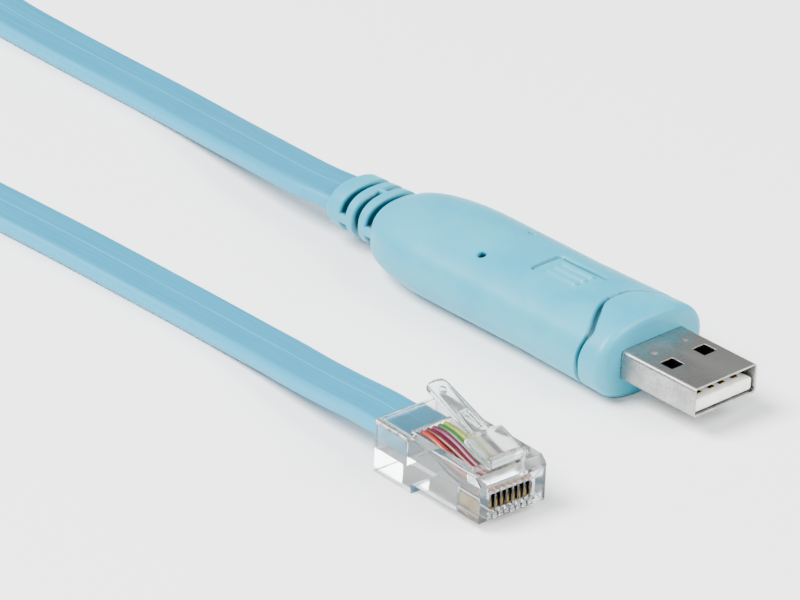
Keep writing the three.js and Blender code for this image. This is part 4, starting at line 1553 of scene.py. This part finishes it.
@dataclass
class ModularPlug:
    """The clear eight-way plug: body, latch, contact blades and wires."""

    place: PlugPlace
    weld: float = 0.002
    edge_round: float = 0.12
    wire_count: int = 8
    wire_pitch: float = 1.02
    wire_height: float = 5.3
    wire_radius: float = 0.47
    wire_tuck: float = 0.6
    wire_front: float = -1.5
    wire_lift: float = 2.05
    wire_rise: float = 1.3
    wire_fall: Pair = (2.5, 2.6)
    wander: float = 0.09
    sag: float = 0.12
    spread: float = 0.03
    copper_length: float = 0.45
    copper_radius: float = 0.24
    wire_steps: int = 39
    copper_steps: int = 3
    wire_sides: int = 20
    hinge: Pair = (-1.73, 8.82)
    slope: float = 18.0
    latch_length: float = 15.8
    latch_half: float = 3.3
    latch_edge: float = 0.36
    tail_half: float = 1.7
    tail_end: float = 0.9995
    wide_length: float = 4.9
    shoulder: float = 0.7
    root_radius: float = 0.8
    thickness_half: float = 0.55
    thinning: float = 0.1
    pocket_place: float = 7.6
    pocket_half: Pair = (1.5, 0.55)
    pocket_depth: float = 0.5
    pocket_wall: float = 0.2
    dot_place: float = 13.9
    dot_radius: float = 0.42
    dot_depth: float = 0.15

    def body(self, palette: Palette, node: Any) -> Any:
        """Makes the clear body: the solid's own shape, welded, with every edge a little rounded.

        Args:
            palette: The finishes.
            node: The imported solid.

        Returns:
            The object.
        """
        thing = coat(show("plug_clear_body", node.data.copy()), palette.clear)
        modifier(thing, "WELD", merge_threshold=self.weld * MM)
        round_edges(thing, self.edge_round, 35)
        return wear(thing, CABLE_BODY, Slot.CLEAR, "plug_body")

    def latch(self, palette: Palette) -> Any:
        """Makes the latch: a section carried along the lever, whose width, thickness and top vary along it.

        The root swells into a round bar about the hinge line, the wide part ends in a shoulder, and the tail
        ends in a squarish round: a superellipse of power 4. A pocket and a small dot are sunk in its top.

        Args:
            palette: The finishes.

        Returns:
            The object.
        """
        wide, tail = self.wide_length, self.tail_half
        lever = ((4.4, 14), (5.9, 16), (13.8, 34), (self.latch_length, 22))
        along = steps(-self.root_radius, (-0.5, 4), (0.9, 12), *lever)[:, None]
        half = self.latch_half + (tail - self.latch_half) * ease(along, wide, wide + self.shoulder)
        past = np.clip((along - self.latch_length + tail) / tail, 0, self.tail_end)
        half = half * (1 - past**4) ** 0.25
        bar = np.sqrt(np.maximum(self.root_radius**2 - along**2, 0.0))
        thick = self.thickness_half - self.thinning * ease(along, wide, wide + 0.5)
        depth = np.where(along < 0, np.maximum(bar, 0.02), np.maximum(bar, thick))
        y, z = rounded_section((2.0, 2.0), self.latch_edge, 25, 5, 5).T
        across = y * half
        long, narrow = self.pocket_half
        pocket = 1 - ease(np.abs(along - self.pocket_place), long, long + self.pocket_wall)
        pocket = pocket * (1 - ease(np.abs(across), narrow, narrow + self.pocket_wall))
        dot = 1 - ease(np.hypot(along - self.dot_place, across), self.dot_radius, self.dot_radius + 0.18)
        up = z * depth - np.where(z > 0.8, self.pocket_depth * pocket + self.dot_depth * dot, 0)
        lean = math.radians(self.slope)
        c, s = math.cos(lean), math.sin(lean)
        rings = lattice(self.hinge[0] - along * c + up * s, across, self.hinge[1] + along * s + up * c)
        thing = skin("plug_latch_lever", self.place.put(rings), palette.worked)
        return wear(thing, LATCH_BODY, Slot.CLEAR, "plug_latch")

    def wire(self, palette: Palette, number: int) -> Any:
        """Makes one wire: a tube with its bare copper end at the front.

        Its line wanders by slow sines that grow and fade along it as a squared sine, each wire's with a
        phase of its own, and it rises to the window behind the blades.

        Args:
            palette: The finishes.
            number: 0 for the nearest wire, 7 for the furthest.

        Returns:
            The object.
        """
        rear, front = FlatCable.jacket_end - self.wire_tuck, self.wire_front
        bare = (front + self.copper_length, self.copper_steps)
        x = steps(rear, (front, self.wire_steps), (front, 1), bare)[:, None]
        share = (x - rear) / (front - rear)
        wander = np.sin(math.pi * np.clip(share, 0, 1)) ** 2
        y = (number - (self.wire_count - 1) / 2) * self.wire_pitch * (1 + self.spread * wander)
        y = y + self.wander * wander * np.sin(2.3 * number + 5 * share)
        fall_from, fall_to = rear + self.wire_fall[0], front - self.wire_fall[1]
        lifted = self.wire_lift * ease(x, rear, rear + self.wire_rise) * (1 - ease(x, fall_from, fall_to))
        z = self.wire_height + lifted + self.sag * wander * np.cos(1.7 * number + 4 * share)
        copper = np.arange(len(x))[:, None] > self.wire_steps
        radius = np.where(copper, self.copper_radius, self.wire_radius)
        around = np.linspace(0, 2 * math.pi, self.wire_sides + 1)[:-1]
        c, s = np.cos(around), np.sin(around)
        rings = lattice(x, y + radius * c, z + radius * s)
        spot = lattice(x, self.wire_radius * c, self.wire_radius * s)
        name = f"plug_conductor_{number + 1}"
        thing = skin(name, self.place.put(rings), palette.wires[number], spot)
        thing.data.materials.append(palette.copper)
        slots = np.zeros(len(thing.data.polygons), np.int32)
        slots[self.wire_steps * self.wire_sides : (len(x) - 1) * self.wire_sides] = 1
        slots[-self.wire_sides :] = 1
        thing.data.polygons.foreach_set("material_index", slots)
        return wear(thing, CABLE_BODY, None, f"plug_wire_{number + 1}")

    def build(self, palette: Palette, nodes: dict[str, Any]) -> list[Any]:
        """Makes the plug's pieces and plates its blades.

        Args:
            palette: The finishes.
            nodes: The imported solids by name.

        Returns:
            The pieces, blades included.
        """
        made = [self.body(palette, nodes["plug_body"]), self.latch(palette)]
        made += [self.wire(palette, number) for number in range(self.wire_count)]
        made += [coat(nodes[f"plug_contact_{k + 1}"], palette.blade) for k in range(self.wire_count)]
        return made


# ---------------------------------------------------------------- studio


@dataclass
class Studio:
    """The camera at the photograph's view, a pale floor and soft light."""

    lens: float = 396.6
    sensor: float = 36.0
    eye: Point = (750.723, -773.972, 567.552)
    right: Point = (0.689143, 0.723377, 0.042519)
    down: Point = (0.361986, -0.292836, -0.884993)
    forward: Point = (-0.627732, 0.625278, -0.463658)
    floor_half: float = 2500.0
    floor_drop: float = 0.02
    sky: float = 0.55

    def camera(self) -> None:
        """Places the camera and makes it the scene's own."""
        data = bpy.data.cameras.new("photo_view")
        data.lens, data.sensor_width, data.sensor_fit = self.lens, self.sensor, "HORIZONTAL"
        data.clip_start, data.clip_end = 0.1, 20
        turn = np.eye(4)
        turn[:3, 0] = self.right
        turn[:3, 1] = -np.array(self.down)
        turn[:3, 2] = -np.array(self.forward)
        turn[:3, 3] = np.array(self.eye) * MM
        thing = show("photo_view", data)
        thing.matrix_world = Matrix(turn.tolist())
        bpy.context.scene.camera = thing

    def lamp(self, name: str, place: Point, aim: Point, size: float, power: float) -> None:
        """Adds a square soft light.

        Args:
            name: Its name.
            place: Where it stands, in metres.
            aim: The point that it faces, in metres.
            size: The side of the square, in metres.
            power: Its power in watts.
        """
        data = bpy.data.lights.new(name, "AREA")
        data.size, data.energy = size, power
        thing = show(name, data)
        thing.location = place
        thing.rotation_euler = (Vector(aim) - thing.location).to_track_quat("-Z", "Y").to_euler()

    def floor(self, palette: Palette) -> None:
        """Lays the floor: a flat sheet of two by two faces, slightly below the part's underside.

        Args:
            palette: The finishes.
        """
        span = np.array([-self.floor_half, 0, self.floor_half])
        points = lattice(span, span[:, None], -self.floor_drop).reshape(-1, 3)
        faces = [[k + 1, k + 4, k + 3, k] for k in (0, 1, 3, 4)]
        piece("floor", points, faces, palette.paper)

    def build(self, palette: Palette) -> None:
        """Sets the floor, the lights and the sky.

        Args:
            palette: The finishes.
        """
        self.floor(palette)
        self.lamp("key", (-0.35, -0.75, 1.1), (0, -0.02, 0), 0.7, 62)
        self.lamp("front", (0.5, -1.0, 0.75), (0, 0, 0), 0.3, 6)
        self.lamp("fill", (0.9, 0.5, 0.9), (0, 0, 0), 0.9, 30)
        world = bpy.data.worlds.new("studio_sky")
        world.use_nodes = True
        inputs = world.node_tree.nodes["Background"].inputs
        inputs["Color"].default_value = (1, 1, 1, 1)
        inputs["Strength"].default_value = self.sky
        bpy.context.scene.world = world


# ---------------------------------------------------------------- whole


def main() -> None:
    """Builds the object and its studio, and reports each piece."""
    logging.basicConfig(level=logging.INFO, format="%(name)s: %(message)s", stream=sys.stdout)
    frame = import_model()
    palette = Palette()
    studio = Studio()
    studio.camera()

    hank, place, cable = Hank(), PlugPlace(), FlatCable()
    jacket, line = cable.build(palette, hank, place)
    straps = Ties().build(palette, hank)
    plug_pieces = ModularPlug(place).build(palette, frame["nodes"])

    MouldedHousing().build(palette)
    SteelShell().build(palette)
    Tongue().build(palette)
    for number in range(1, 5):
        coat(frame["nodes"][f"usb_contact_{number}"], palette.gold)
    studio.build(palette)


if __name__ == "__main__":
    main()
